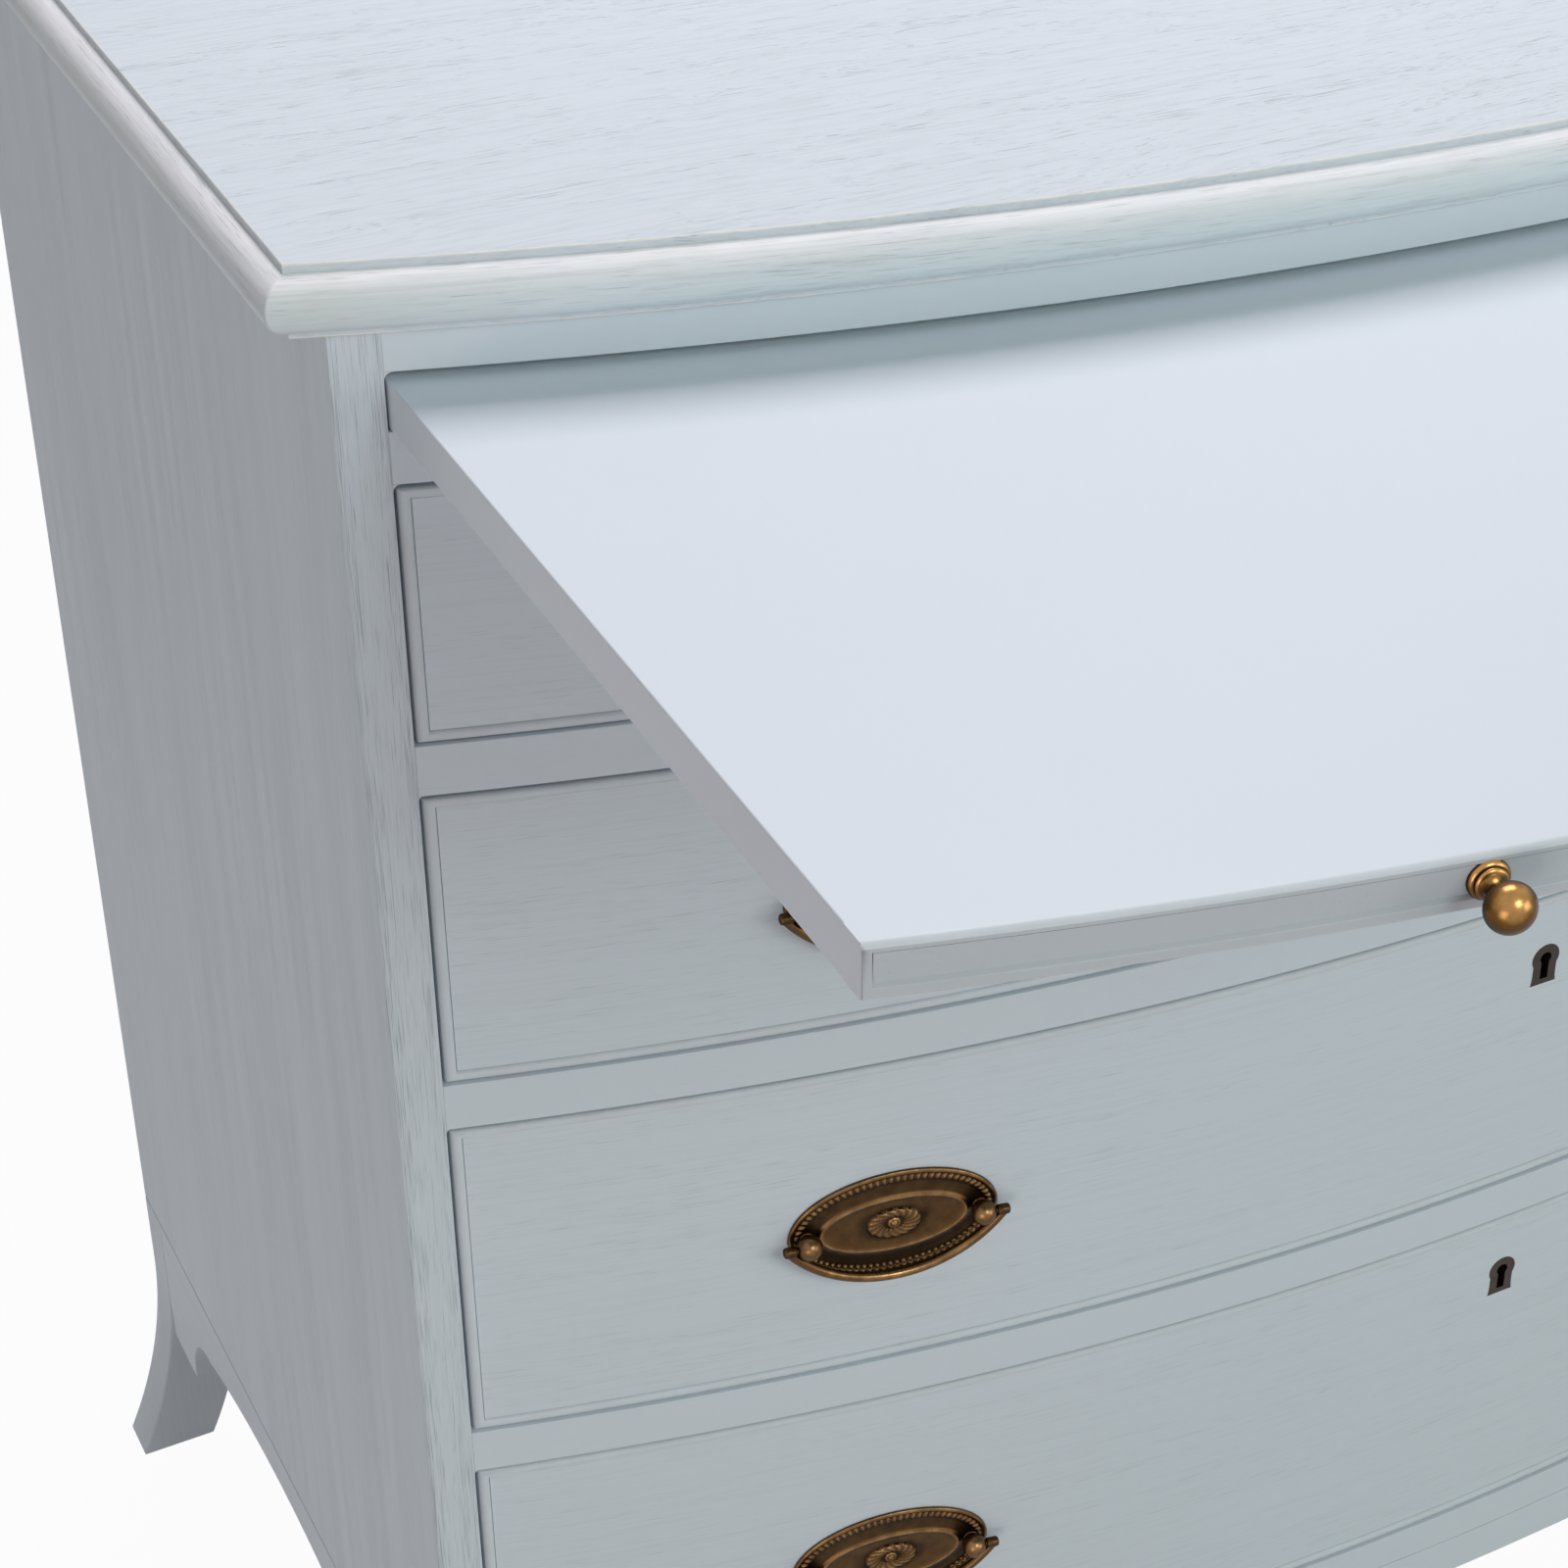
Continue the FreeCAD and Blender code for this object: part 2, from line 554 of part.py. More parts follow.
def handle_bail():
    """Bail: the arc of a ring below the pins, with ears outside the posts and pins through them."""
    ring = bind(doc.addObject("Part::Torus", "bail_ring"), Radius1="arc_radius", Radius2="bail_rod / 2")
    place(ring, "0", "0 - post_reach", "arc_radius - bail_drop", turn="90deg", about=(1, 0, 0))
    below = box("bail_below", ("0 - bail_half_span - bail_rod", "bail_half_span + bail_rod"),
                ("0 - post_reach - bail_rod", "bail_rod - post_reach"), ("0 - bail_drop - bail_rod", "0"))
    parts = [common("bail_arc", ring, below)]
    for side, sign in SIDES.items():
        pin_from = "post_spacing / 2 - post_ball / 4"
        pin_x = pin_from if side == "right" else "0 - ear_end"
        ear_x = "ear_start" if side == "right" else "0 - ear_end"
        parts.append(rod("bail_pin_" + side, "bail_pin / 2", "ear_end - (%s)" % pin_from, pin_x,
                         "0 - post_reach", along="x"))
        parts.append(rod("bail_ear_" + side, "ear / 2", "ear_length", ear_x,
                         "0 - post_reach", along="x"))
    return fuse("bail_blank", *parts)


# ---- Escutcheon, in the front's middle, at z = 0 for its top ----

def key_pieces():
    """Escutcheon, the pocket it is let into and the keyhole, for a front whose face is y = 0."""
    blank = fuse("escutcheon_blank", *key_solid("escutcheon_solid", "0", "escutcheon_thickness"))
    pocket = fuse("escutcheon_pocket", *key_solid("pocket_solid", "front_inset", "escutcheon_thickness"))
    middle = "0 - escutcheon_width / 2"
    round_hole = rod("key_round_hole", "key_round / 2", "front_inset + key_depth", "0",
                     "0 - front_inset", middle, along="y")
    slot = box("key_slot_hole", ("0 - key_slot / 2", "key_slot / 2"), ("0 - front_inset", "key_depth"),
               ("key_round / 2 - escutcheon_height", middle))
    keyhole = fuse("keyhole", round_hole, slot)
    return cut("escutcheon_plate", blank, keyhole), group("key_cuts", pocket, keyhole)


def key_solid(name, out, deep):
    """A round head on a straight waist with a wider foot, from y = -out to y = deep."""
    radius = "escutcheon_width / 2"
    span = ("0 - (%s)" % out, deep)
    head = rod(name + "_head", radius, "(%s) + (%s)" % (deep, out), "0", span[0], "0 - " + radius, along="y")
    waist = box(name + "_waist", ("0 - escutcheon_waist / 2", "escutcheon_waist / 2"), span,
                ("0 - escutcheon_height", "0 - " + radius))
    foot = box(name + "_foot", ("0 - escutcheon_foot / 2", "escutcheon_foot / 2"), span,
               ("0 - escutcheon_height", "escutcheon_waist / 3 - escutcheon_height"))
    return head, waist, foot


# ---- Drawers ----

def drawer(level, handle, bail, drills, escutcheon, key_cuts):
    name = "drawer_%d" % level
    low = "drawer_low_%d + run_gap" % level
    high = "drawer_low_%d + drawer_height_%d - drawer_top_gap" % (level, level)
    middle = "drawer_low_%d + drawer_height_%d / 2 - handle_drop" % (level, level)
    key_z = "drawer_low_%d + drawer_height_%d - key_drop" % (level, level)
    reach = ("front_y - 2 * bow_rise", "front_y + bow_rise")
    seat = "(front_radius - front_inset)"
    at_handles = {}
    for side, sign in SIDES.items():
        at_handles[side] = ("%s * %s * sin(handle_turn)" % (sign, seat),
                            "bow_y - %s * cos(handle_turn)" % seat, middle, "%s * handle_turn" % sign)
    blank = box(name + "_blank", ("0 - board_half", "board_half"), reach,
                (low + " + bead_width", high + " - bead_width"))
    curved = cut(name + "_curved", common(name + "_bowed", blank, board_face), board_back)
    holes = [copy("%s_drill_%s" % (name, side), drills, *at_handles[side]) for side in SIDES]
    key_hole = copy(name + "_key_cut", key_cuts, "0", "bow_y - " + seat, key_z)
    node(name + "_front", cut(name + "_front", curved, *holes, key_hole))

    bands = {"top": (("0 - drawer_half", "drawer_half"), (high + " - bead_width", high)),
             "bottom": (("0 - drawer_half", "drawer_half"), (low, low + " + bead_width")),
             "left": (("0 - drawer_half", "0 - board_half"), (low + " + bead_width", high + " - bead_width")),
             "right": (("board_half", "drawer_half"), (low + " + bead_width", high + " - bead_width"))}
    beads = []
    for edge, (across, up) in bands.items():
        bar = box("%s_bead_%s_box" % (name, edge), across, reach, up)
        strip = common("%s_bead_%s_bowed" % (name, edge), bar, bead_crest)
        beads.append(cut("%s_bead_%s" % (name, edge), strip, board_back))
    node(name + "_cock_beads", *beads)

    box_high = high + " - box_drop"
    sides = []
    for side, sign in SIDES.items():
        edges = ("drawer_half - box_thickness", "drawer_half") if side == "right" else (
            "0 - drawer_half", "box_thickness - drawer_half")
        blank = box("%s_side_%s_box" % (name, side), edges, (reach[0], "drawer_back"), (low, box_high))
        sides.append(common("%s_side_%s" % (name, side), blank, board_back))
    between = ("box_thickness - drawer_half", "drawer_half - box_thickness")
    back = box(name + "_back", between, ("drawer_back - box_thickness", "drawer_back"),
               (low + " + panel_rise + panel_thickness", box_high))
    node(name + "_box", *sides, back)
    panel = box(name + "_panel", between, (reach[0], "drawer_back"),
                (low + " + panel_rise", low + " + panel_rise + panel_thickness"))
    node(name + "_bottom", common(name + "_bottom", panel, board_back))

    node(name + "_escutcheon", copy(name + "_escutcheon", escutcheon, "0", "bow_y - " + seat, key_z))
    node(name + "_handle_plates", *[copy("%s_handle_%s" % (name, side), handle, *at_handles[side])
                                    for side in SIDES])
    for side in SIDES:
        node("%s_bail_%s" % (name, side), copy("%s_bail_%s" % (name, side), bail, *at_handles[side]))


top_panel()
top_moulding()
carcass()
drawer_stops()
feet()
aprons()
glue_blocks()
slide()
fixed_handle, bail_blank, handle_drills = handle_pieces()
escutcheon_plate, key_cut = key_pieces()
for drawer_level in DRAWERS:
    drawer(drawer_level, fixed_handle, bail_blank, handle_drills, escutcheon_plate, key_cut)

doc.recompute()

for thing in doc.Objects:
    if "Invalid" in thing.State or "Error" in thing.State:
        raise RuntimeError("%s did not compute" % thing.Label)
for thing in nodes:
    if thing.Shape.isNull() or not thing.Shape.isValid() or not thing.Shape.Solids:
        raise RuntimeError("%s has no valid solid" % thing.Label)

os.makedirs("parts", exist_ok=True)
for thing in nodes:
    thing.Shape.exportStep("parts/%s.step" % thing.Label)
    print("%-28s %d solids %12.1f mm3" % (thing.Label, len(thing.Shape.Solids), thing.Shape.Volume))
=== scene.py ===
from math import acos, asin, cos, pi, radians, sin, sqrt

import bmesh
import bpy
from bmesh.types import BMEdge, BMFace, BMVert
from mathutils import Matrix, Vector


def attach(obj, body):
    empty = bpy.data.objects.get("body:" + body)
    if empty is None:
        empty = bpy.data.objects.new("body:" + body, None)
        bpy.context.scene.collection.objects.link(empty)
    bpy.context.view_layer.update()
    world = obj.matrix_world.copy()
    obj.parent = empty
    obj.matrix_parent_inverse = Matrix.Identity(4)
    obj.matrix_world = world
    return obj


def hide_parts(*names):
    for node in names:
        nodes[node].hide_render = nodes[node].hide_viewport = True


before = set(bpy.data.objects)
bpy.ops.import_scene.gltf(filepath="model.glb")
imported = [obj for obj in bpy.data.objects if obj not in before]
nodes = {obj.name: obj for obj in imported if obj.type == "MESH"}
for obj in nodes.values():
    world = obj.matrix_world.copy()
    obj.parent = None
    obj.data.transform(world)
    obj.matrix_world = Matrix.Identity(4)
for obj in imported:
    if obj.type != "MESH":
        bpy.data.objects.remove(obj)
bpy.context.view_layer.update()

scene = bpy.context.scene

# Bow front chest of drawers with a brushing slide. Pieces are modelled in millimetres and flat:
# y is first measured back from the bow, then each piece is bent to it. Finished meshes are in metres.
MM = 0.001
HALF = 480.0            # half the carcass width
INNER = 463.0           # middle to the inside of a carcass side
BOW_RADIUS = 1680.714
BOW_Y = 1587.714        # axis of the bow
BACK = 431.0
BACK_PANEL = 423.0      # front of the back panel
REBATE = 471.0          # middle to the bottom of the sides' rebates
RAIL_BACK = 27.0
RAIL_EDGE = 0.35        # rounding of the rails' edges
BASE = 156.0            # underside of the carcass
GROOVE = 1.0            # groove between the carcass and its base
CARCASS_TOP = 860.5
TOP = 886.5
PANEL_HALF = 491.0      # half the top panel's width
PANEL_FRONT = -3.0      # front of the top panel, past the bow
MOULDING_RADIUS = 10.25
MOULDING_SUNK = 1.25    # the moulding's centre behind the panel's edge
MOULDING_Z = 873.45
SLICE = 20.0            # length of one straight step around the bow
BEND_BEFORE = 45.0      # what lies deeper than this keeps its straight back
TOLERANCE = 1e-4        # points this close count as one
NEAR = 0.1              # what lies this close to a plane is picked with it

# Lower and upper edge of each drawer's opening, and of each rail with the fillet of its lower corners.
OPENINGS = {"drawer_1": (702.0, 804.5), "drawer_2": (553.0, 681.5), "drawer_3": (377.5, 532.5),
            "drawer_4": (176.0, 357.0)}
RAILS = {"top_rail": (845.5, 860.5, 2.8), "slide_rail": (804.5, 823.9, 2.5),
         "drawer_rail_1": (681.5, 702.0, 1.5), "drawer_rail_2": (532.5, 553.0, 1.5),
         "drawer_rail_3": (357.0, 377.5, 1.5)}
RUN_GAP = 0.3           # under a drawer
TOP_GAP = 2.6           # over a drawer
DRAWER_HALF = 461.2
BEAD = 4.2              # width of a cock bead
QUIRK = 0.15            # fine groove between the beads and the front's face
BEAD_CREST = 1.0        # crest of the beads behind the bow
FACE = 2.5              # drawer front's face behind the bow
FRONT_BACK = 22.5       # drawer front's back behind the bow

SLIDE_REACH = 338.0     # how far the slide is drawn out
SLIDE_HALF = 462.0
SLIDE_LOW = 824.2
SLIDE_HIGH = 842.2
SLIDE_MIDDLE = (SLIDE_LOW + SLIDE_HIGH) / 2
SLIDE_BACK = 84.5       # straight back of the slide, drawn out
EDGING = 10.0           # thickness of the slide's front edging
LIP = 2.7               # border of the edging's recess at its ends
LIP_ABOVE = 3.2
LIP_BELOW = 3.6
RECESS = 1.2
PANEL_TOP_IN = 0.6      # recessed panel behind the lip at its top
JOINT = 0.5             # fine joint over the recessed panel and at its ends
JOINT_DEPTH = 1.4
EDGE_TUCK = 0.1         # keeps the edging inside the frame's own facets

HANDLE_TURN = asin(296.0 / BOW_RADIUS)
HANDLE_DROP = 6.0       # handles below the middle of their opening
POST_X = 36.0           # posts from the middle of their plate
POST_OUT = 6.0          # balls of the posts in front of the plate
BALL = 5.3
EAR_START = 41.4        # ears of the bail, from its middle
EAR_END = 46.8
BAIL_ROD = 2.0          # radius
BAIL_SPAN = 44.8        # bail's ends from its middle
BAIL_DROP = 22.5
KEY_DROP = 28.5         # top of the escutcheon below its opening
ESCUTCHEON_OUT = 0.15   # escutcheon proud of the drawer's face
ESCUTCHEON_IN = 3.0     # how deep it is let in
POCKET_HALF = 4.2       # pocket behind the keyhole
POCKET_DEPTH = 14.0

SIDES = {"left": -1, "right": 1}


# ---- Mesh helpers ----

def new_mesh():
    """An empty mesh. Faces record what wear has rubbed, and points record how high a casting stands."""
    bm = bmesh.new()
    bm.faces.layers.float.new("rub")
    bm.verts.layers.float.new("crest")
    return bm


def block(bm, low, high):
    """A box between two corners."""
    made = bmesh.ops.create_cube(bm, size=1.0)["verts"]
    bmesh.ops.scale(bm, vec=[b - a for a, b in zip(low, high)], verts=made)
    bmesh.ops.translate(bm, vec=[(a + b) / 2 for a, b in zip(low, high)], verts=made)


def kind(made, sort):
    """The items of one sort, such as faces, among what an operator made."""
    return [item for item in made if isinstance(item, sort)]


def lift(bm, faces, by):
    """Extrudes faces along a vector, keeps the old ones, and gives back the moved faces."""
    made = bmesh.ops.extrude_face_region(bm, geom=faces)["geom"]
    bmesh.ops.translate(bm, vec=by, verts=kind(made, BMVert))
    return kind(made, BMFace)


def push(bm, faces, by):
    """Extrudes faces along a vector and gives back the moved faces."""
    moved = lift(bm, faces, by)
    stale = [face for face in faces if face.is_valid]
    if stale:
        bmesh.ops.delete(bm, geom=stale, context="FACES_ONLY")
    return moved


def cut(bm, geom, at, along):
    """Slices geometry with a plane and gives back its faces."""
    made = bmesh.ops.bisect_plane(bm, geom=geom, dist=TOLERANCE, plane_co=at, plane_no=along)["geom"]
    return kind(made, BMFace)


def everything(bm):
    return bm.verts[:] + bm.edges[:] + bm.faces[:]


def close_holes(bm):
    bmesh.ops.holes_fill(bm, edges=[edge for edge in bm.edges if edge.is_boundary], sides=0)


def arc(bm, start, centre, angle, steps):
    """Spins a point about an axis along Y, as a chain of edges."""
    first = bm.verts.new(start)
    bmesh.ops.spin(bm, geom=[first], cent=centre, axis=(0, 1, 0), angle=angle, steps=steps,
                   use_duplicate=False)


def loose_ends(bm):
    """The two ends of an open chain, in the order they were made."""
    return [vert for vert in bm.verts if len(vert.link_edges) == 1]


def pick(bm, axis, test):
    """Sharp edges that run along an axis, or any way for None, and whose middle passes a test."""
    found = []
    for edge in bm.edges:
        run = edge.verts[1].co - edge.verts[0].co
        middle = (edge.verts[1].co + edge.verts[0].co) / 2
        aligned = axis is None or abs(run[axis]) > 0.9 * run.length
        if aligned and edge.calc_face_angle(0) > radians(25) and test(middle):
            found.append(edge)
    return found


def bevel(bm, edges, width, segments):
    """Rounds edges and gives back the faces of the rounding."""
    return bmesh.ops.bevel(bm, geom=edges, offset=width, offset_type="OFFSET", affect="EDGES",
                           segments=segments, profile=0.5, material=-1, clamp_overlap=True)["faces"]


def ease(bm, edges, width, segments=3):
    """Rounds edges and marks the rounding as rubbed."""
    rub = bm.faces.layers.float["rub"]
    for face in bevel(bm, edges, width, segments):
        face[rub] = 1.0


def bow_line(x, depth):
    """World y of a place that lies at a depth behind the bow."""
    return BOW_Y - sqrt((BOW_RADIUS - depth) ** 2 - x ** 2)


def bend(bm, reach=0.0):
    """Slices a flat piece along its length and bends what is near its front to the bow."""
    low = min(vert.co.x for vert in bm.verts)
    high = max(vert.co.x for vert in bm.verts)
    count = max(1, round((high - low) / SLICE))
    for index in range(1, count):
        cut(bm, everything(bm), (low + (high - low) * index / count, 0, 0), (1, 0, 0))
    for vert in bm.verts:
        if vert.co.y < BEND_BEFORE:
            vert.co.y = bow_line(vert.co.x, vert.co.y) - reach


def baked(bm, name):
    """Ends the work on a mesh and stores it."""
    mesh = bpy.data.meshes.new(name)
    bm.to_mesh(mesh)
    bm.free()
    return mesh


def add_object(name, data):
    thing = bpy.data.objects.new(name, data)
    scene.collection.objects.link(thing)
    return thing


def join(whole, part):
    """Adds one mesh to another."""
    mesh = baked(part, "part")
    whole.from_mesh(mesh)
    bpy.data.meshes.remove(mesh)


def piece(bm, node, ending, body, finishes, choose=None, name=None, slot="painted_oak", sharp=40):
    """Turns a mesh in millimetres into a piece that stands for a node and rides on a body.
    Flat faces of painted boards are kept evenly shaded."""
    name = name or node + "_" + ending
    bmesh.ops.recalc_face_normals(bm, faces=bm.faces)
    bm.normal_update()
    if choose:
        for face in bm.faces:
            face.material_index = choose(face)
    bmesh.ops.scale(bm, vec=(MM, MM, MM), verts=bm.verts)
    mesh = baked(bm, name)
    mesh.polygons.foreach_set("use_smooth", [True] * len(mesh.polygons))
    mesh.set_sharp_from_angle(angle=radians(sharp))
    for finish in finishes:
        mesh.materials.append(finish)
    thing = add_object(name, mesh)
    if slot == "painted_oak":
        thing.modifiers.new("even_shading", "WEIGHTED_NORMAL").keep_sharp = True
    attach(thing, body)
    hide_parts(node)


# ---- Shader helpers ----

def srgb(red, green, blue):
    """A colour named in screen values, as a linear one."""
    linear = []
    for value in (red, green, blue):
        value /= 255
        linear.append(value / 12.92 if value <= 0.04045 else ((value + 0.055) / 1.055) ** 2.4)
    return (*linear, 1.0)


class Graph:
    """Adds nodes to a tree and links them by socket name."""

    def __init__(self, tree):
        self.tree = tree

    def add(self, sort, settings=None, **inputs):
        node = self.tree.nodes.new("ShaderNode" + sort)
        for key, value in (settings or {}).items():
            setattr(node, key, value)
        for key, value in inputs.items():
            self.feed(node.inputs[int(key[1:]) if key[0] == "_" else key.replace("_", " ")], value)
        return node

    def feed(self, socket, value):
        if isinstance(value, bpy.types.NodeSocket):
            self.tree.links.new(value, socket)
        else:
            socket.default_value = value

    def layer(self, name):
        """A float layer of the mesh."""
        return self.add("Attribute", {"attribute_name": name}).outputs["Fac"]

    def effect(self, group, **inputs):
        """Places a node group and gives back its outputs."""
        return self.add("Group", {"node_tree": group}, **inputs).outputs

    def math(self, operation, first, second=0.0, clamp=False):
        settings = {"operation": operation, "use_clamp": clamp}
        return self.add("Math", settings, _0=first, _1=second).outputs[0]

    def ramp(self, value, low, high, to_low=0.0, to_high=1.0):
        return self.add("MapRange", {"clamp": True}, Value=value, From_Min=low, From_Max=high,
                        To_Min=to_low, To_Max=to_high).outputs[0]

    def noise(self, vector, scale, detail=2.0, roughness=0.5):
        return self.add("TexNoise", Vector=vector, Scale=scale, Detail=detail,
                        Roughness=roughness).outputs["Fac"]

    def vectors(self, operation, first, second=(0, 0, 0)):
        """Vector arithmetic. The second output holds a length or a dot product."""
        return self.add("VectorMath", {"operation": operation}, _0=first, _1=second).outputs

    def stretch(self, vector, scale):
        return self.vectors("MULTIPLY", vector, scale)[0]

    def axes(self, vector):
        return self.add("SeparateXYZ", Vector=vector).outputs

    def mix(self, factor, first, second):
        node = self.add("Mix", {"data_type": "RGBA"})
        for index, value in ((0, factor), (6, first), (7, second)):
            self.feed(node.inputs[index], value)
        return node.outputs[2]


COLOURS = ("Color", "Paint", "Shade", "Crown", "Thin Paint", "Pore Colour", "Stain", "Rubbed",
           "Hollow Colour", "Crest Colour", "Bright Colour")


def socket_sort(label):
    return "NodeSocket" + ("Vector" if label == "Vector" else "Color" if label in COLOURS else "Float")


def new_group(name, inputs, outputs):
    """A shader node group with named sockets, and the graph and ends to fill it with."""
    tree = bpy.data.node_groups.new(name, "ShaderNodeTree")
    for label in inputs:
        tree.interface.new_socket(label, in_out="INPUT", socket_type=socket_sort(label))
    for label in outputs:
        tree.interface.new_socket(label, in_out="OUTPUT", socket_type=socket_sort(label))
    graph = Graph(tree)
    given, result = tree.nodes.new("NodeGroupInput"), tree.nodes.new("NodeGroupOutput")
    return tree, graph, given.outputs, result.inputs


def grain_group():
    """Open pored oak whose grain runs along the vector's X, with a wandering line and gathered pores."""
    tree, g, given, result = new_group("oak_grain", ["Vector", "Wander", "Pore Share", "Fineness"],
                                       ["Pores", "Figure", "Fibre", "Height"])
    drift = g.noise(g.stretch(given["Vector"], (3.0, 9.0, 9.0)), 1.0, 3.0)
    shift = g.math("MULTIPLY", g.math("SUBTRACT", drift, 0.5), given["Wander"])
    along = g.vectors("ADD", given["Vector"], g.add("CombineXYZ", Y=shift, Z=shift).outputs[0])[0]
    figure = g.noise(g.stretch(along, (4.0, 120.0, 120.0)), 1.0, 3.0)
    dashes = g.noise(g.stretch(along, (60.0, 2300.0, 2300.0)), given["Fineness"], 1.0, 0.5)
    fibre = g.noise(g.stretch(along, (16.0, 800.0, 800.0)), given["Fineness"], 2.0, 0.6)
    gather = g.ramp(figure, 0.35, 0.65, 0.08, -0.05)
    threshold = g.math("SUBTRACT", g.math("ADD", 0.8, gather), g.math("MULTIPLY", given["Pore Share"], 0.35))
    depth = g.math("MULTIPLY", g.math("SUBTRACT", dashes, threshold), 8.0, clamp=True)
    g.feed(result["Pores"], depth)
    g.feed(result["Figure"], figure)
    g.feed(result["Fibre"], fibre)
    height = g.math("SUBTRACT", g.math("MULTIPLY", fibre, 0.5), depth)
    g.feed(result["Height"], height)
    return tree


def bowed_group():
    """Places on the bowed front: Y becomes the distance from the axis of the bow."""
    tree, g, given, result = new_group("bowed_place", ["Vector"], ["Vector"])
    from_axis = g.vectors("SUBTRACT", given["Vector"], (0, BOW_Y * MM, 0))[0]
    radius = g.vectors("LENGTH", g.stretch(from_axis, (1, 1, 0)))[1]
    axes = g.axes(given["Vector"])
    g.feed(result["Vector"], g.add("CombineXYZ", X=axes["X"], Y=radius, Z=axes["Z"]).outputs[0])
    return tree


def cloud_group():
    """Paint whose tone drifts a little from place to place."""
    tree, g, given, result = new_group("paint_cloud", ["Vector", "Paint", "Shade", "Amount"],
                                       ["Color", "Mask"])
    mask = g.ramp(g.noise(given["Vector"], 5.0, 3.0), 0.3, 0.7)
    g.feed(result["Mask"], mask)
    g.feed(result["Color"], g.mix(g.math("MULTIPLY", mask, given["Amount"]), given["Paint"], given["Shade"]))
    return tree


def overlay_group(name, source, over, mask):
    """A group that lays a second colour over the first where a mask made from its source says."""
    tree, g, given, result = new_group(name, [source, "Color", over, "Amount"], ["Color"])
    share = g.math("MULTIPLY", mask(g, given[source]), given["Amount"])
    g.feed(result["Color"], g.mix(share, given["Color"], given[over]))
    return tree


def lit_crown_mask(g, place):
    """A moulding's crown, where its upper half is painted lighter as a painted highlight."""
    return g.ramp(g.axes(place)["Z"], (MOULDING_Z + 0.5) * MM, (MOULDING_Z + 8.0) * MM)


def streak_mask(g, fibre):
    """Where the paint lies thin along the fibre."""
    return g.ramp(fibre, 0.45, 0.7)


def pore_mask(_g, pores):
    """Open pores, which show through as short dark strokes."""
    return pores


def stain_mask(g, place):
    """Faint patches."""
    return g.ramp(g.noise(place, 26.0, 4.0, 0.6), 0.52, 0.72)


def wear_group():
    """Eased edges, rubbed in broken patches."""
    tree, g, given, result = new_group("rubbed_edge", ["Vector", "Edge", "Color", "Rubbed", "Amount"],
                                       ["Color"])
    patches = g.noise(given["Vector"], 38.0, 4.0, 0.62)
    spread = g.math("ADD", g.ramp(patches, 0.36, 0.62), g.math("MULTIPLY", given["Amount"], 0.6))
    mask = g.math("MULTIPLY", g.math("MULTIPLY", spread, given["Edge"]), given["Amount"], clamp=True)
    g.feed(result["Color"], g.mix(mask, given["Color"], given["Rubbed"]))
    return tree


def sheen_group():
    """A sheen that follows the figure of the wood or the clouds of the paint."""
    tree, g, given, result = new_group("uneven_sheen", ["Figure", "Sheen"], ["Roughness"])
    g.feed(result["Roughness"], g.math("ADD", given["Sheen"], g.ramp(given["Figure"], 0.3, 0.7, -0.03, 0.05)))
    return tree


def patina_and_shade_group():
    """Antiqued metal: dark in its hollows and rubbed bright along its crests, with painted shade on the side
    turned away from the light and a painted highlight on the side turned to it.
    """
    tree, g, given, result = new_group(
        "worn_and_shaded_metal",
        ["Vector", "Crest", "Handling", "Hollow Colour", "Crest Colour", "Bright Colour", "Sheen"],
        ["Color", "Roughness", "Height"])
    patches = g.noise(given["Vector"], 190.0, 3.0, 0.55)
    grime = g.noise(given["Vector"], 1400.0, 2.0)
    facing = g.vectors("DOT_PRODUCT", g.add("NewGeometry").outputs["Normal"], TOWARDS_LIT_SIDE)[1]
    # Painted light and shade: lighter where the surface faces up, forward and left, darker where it turns
    # away.
    painted_shade = g.math("MULTIPLY", g.ramp(facing, 0.0, 1.0, -1.0, 0.7), given["Handling"])
    uneven = g.math("ADD", painted_shade, g.ramp(patches, 0.3, 0.7, -0.1, 0.1))
    wear_and_shade = g.math("ADD", given["Crest"], uneven, clamp=True)
    body = g.mix(g.ramp(wear_and_shade, 0.05, 0.6), given["Hollow Colour"], given["Crest Colour"])
    g.feed(result["Color"], g.mix(g.ramp(wear_and_shade, 0.65, 1.0), body, given["Bright Colour"]))
    dulled = g.math("ADD", g.ramp(wear_and_shade, 0.0, 1.0, 0.16, -0.04), g.ramp(grime, 0.3, 0.7, -0.04, 0.04))
    g.feed(result["Roughness"], g.math("ADD", given["Sheen"], dulled))
    g.feed(result["Height"], patches)
    return tree


# Metal facing this way is painted lighter and metal turned away is painted darker, as painted light and
# painted shade.
TOWARDS_LIT_SIDE = (-0.25, -0.6, 0.75)
OAK_GRAIN = grain_group()
BOWED_PLACE = bowed_group()
PAINT_CLOUD = cloud_group()
LIT_CROWN = overlay_group("painted_lit_crown", "Vector", "Crown", lit_crown_mask)
THIN_STREAKS = overlay_group("thin_streaks", "Fibre", "Thin Paint", streak_mask)
OPEN_PORES = overlay_group("open_pores", "Pores", "Pore Colour", pore_mask)
YELLOW_STAIN = overlay_group("yellow_stain", "Vector", "Stain", stain_mask)
RUBBED_EDGE = wear_group()
UNEVEN_SHEEN = sheen_group()
WORN_AND_SHADED_METAL = patina_and_shade_group()
PAINT_SPECULAR = 0.28
BRUSHED = 0.0002        # metres, depth of the relief in paint and metal

# Colours in screen values.
PAINT = (212, 221, 228)
PORE = (150, 160, 165)
OAK_LIGHT = (196, 168, 128)
OAK_PORE = (150, 116, 78)

BOX_BACK_FACE = 0.3945  # metres, just before the inner face of a drawer box's back board

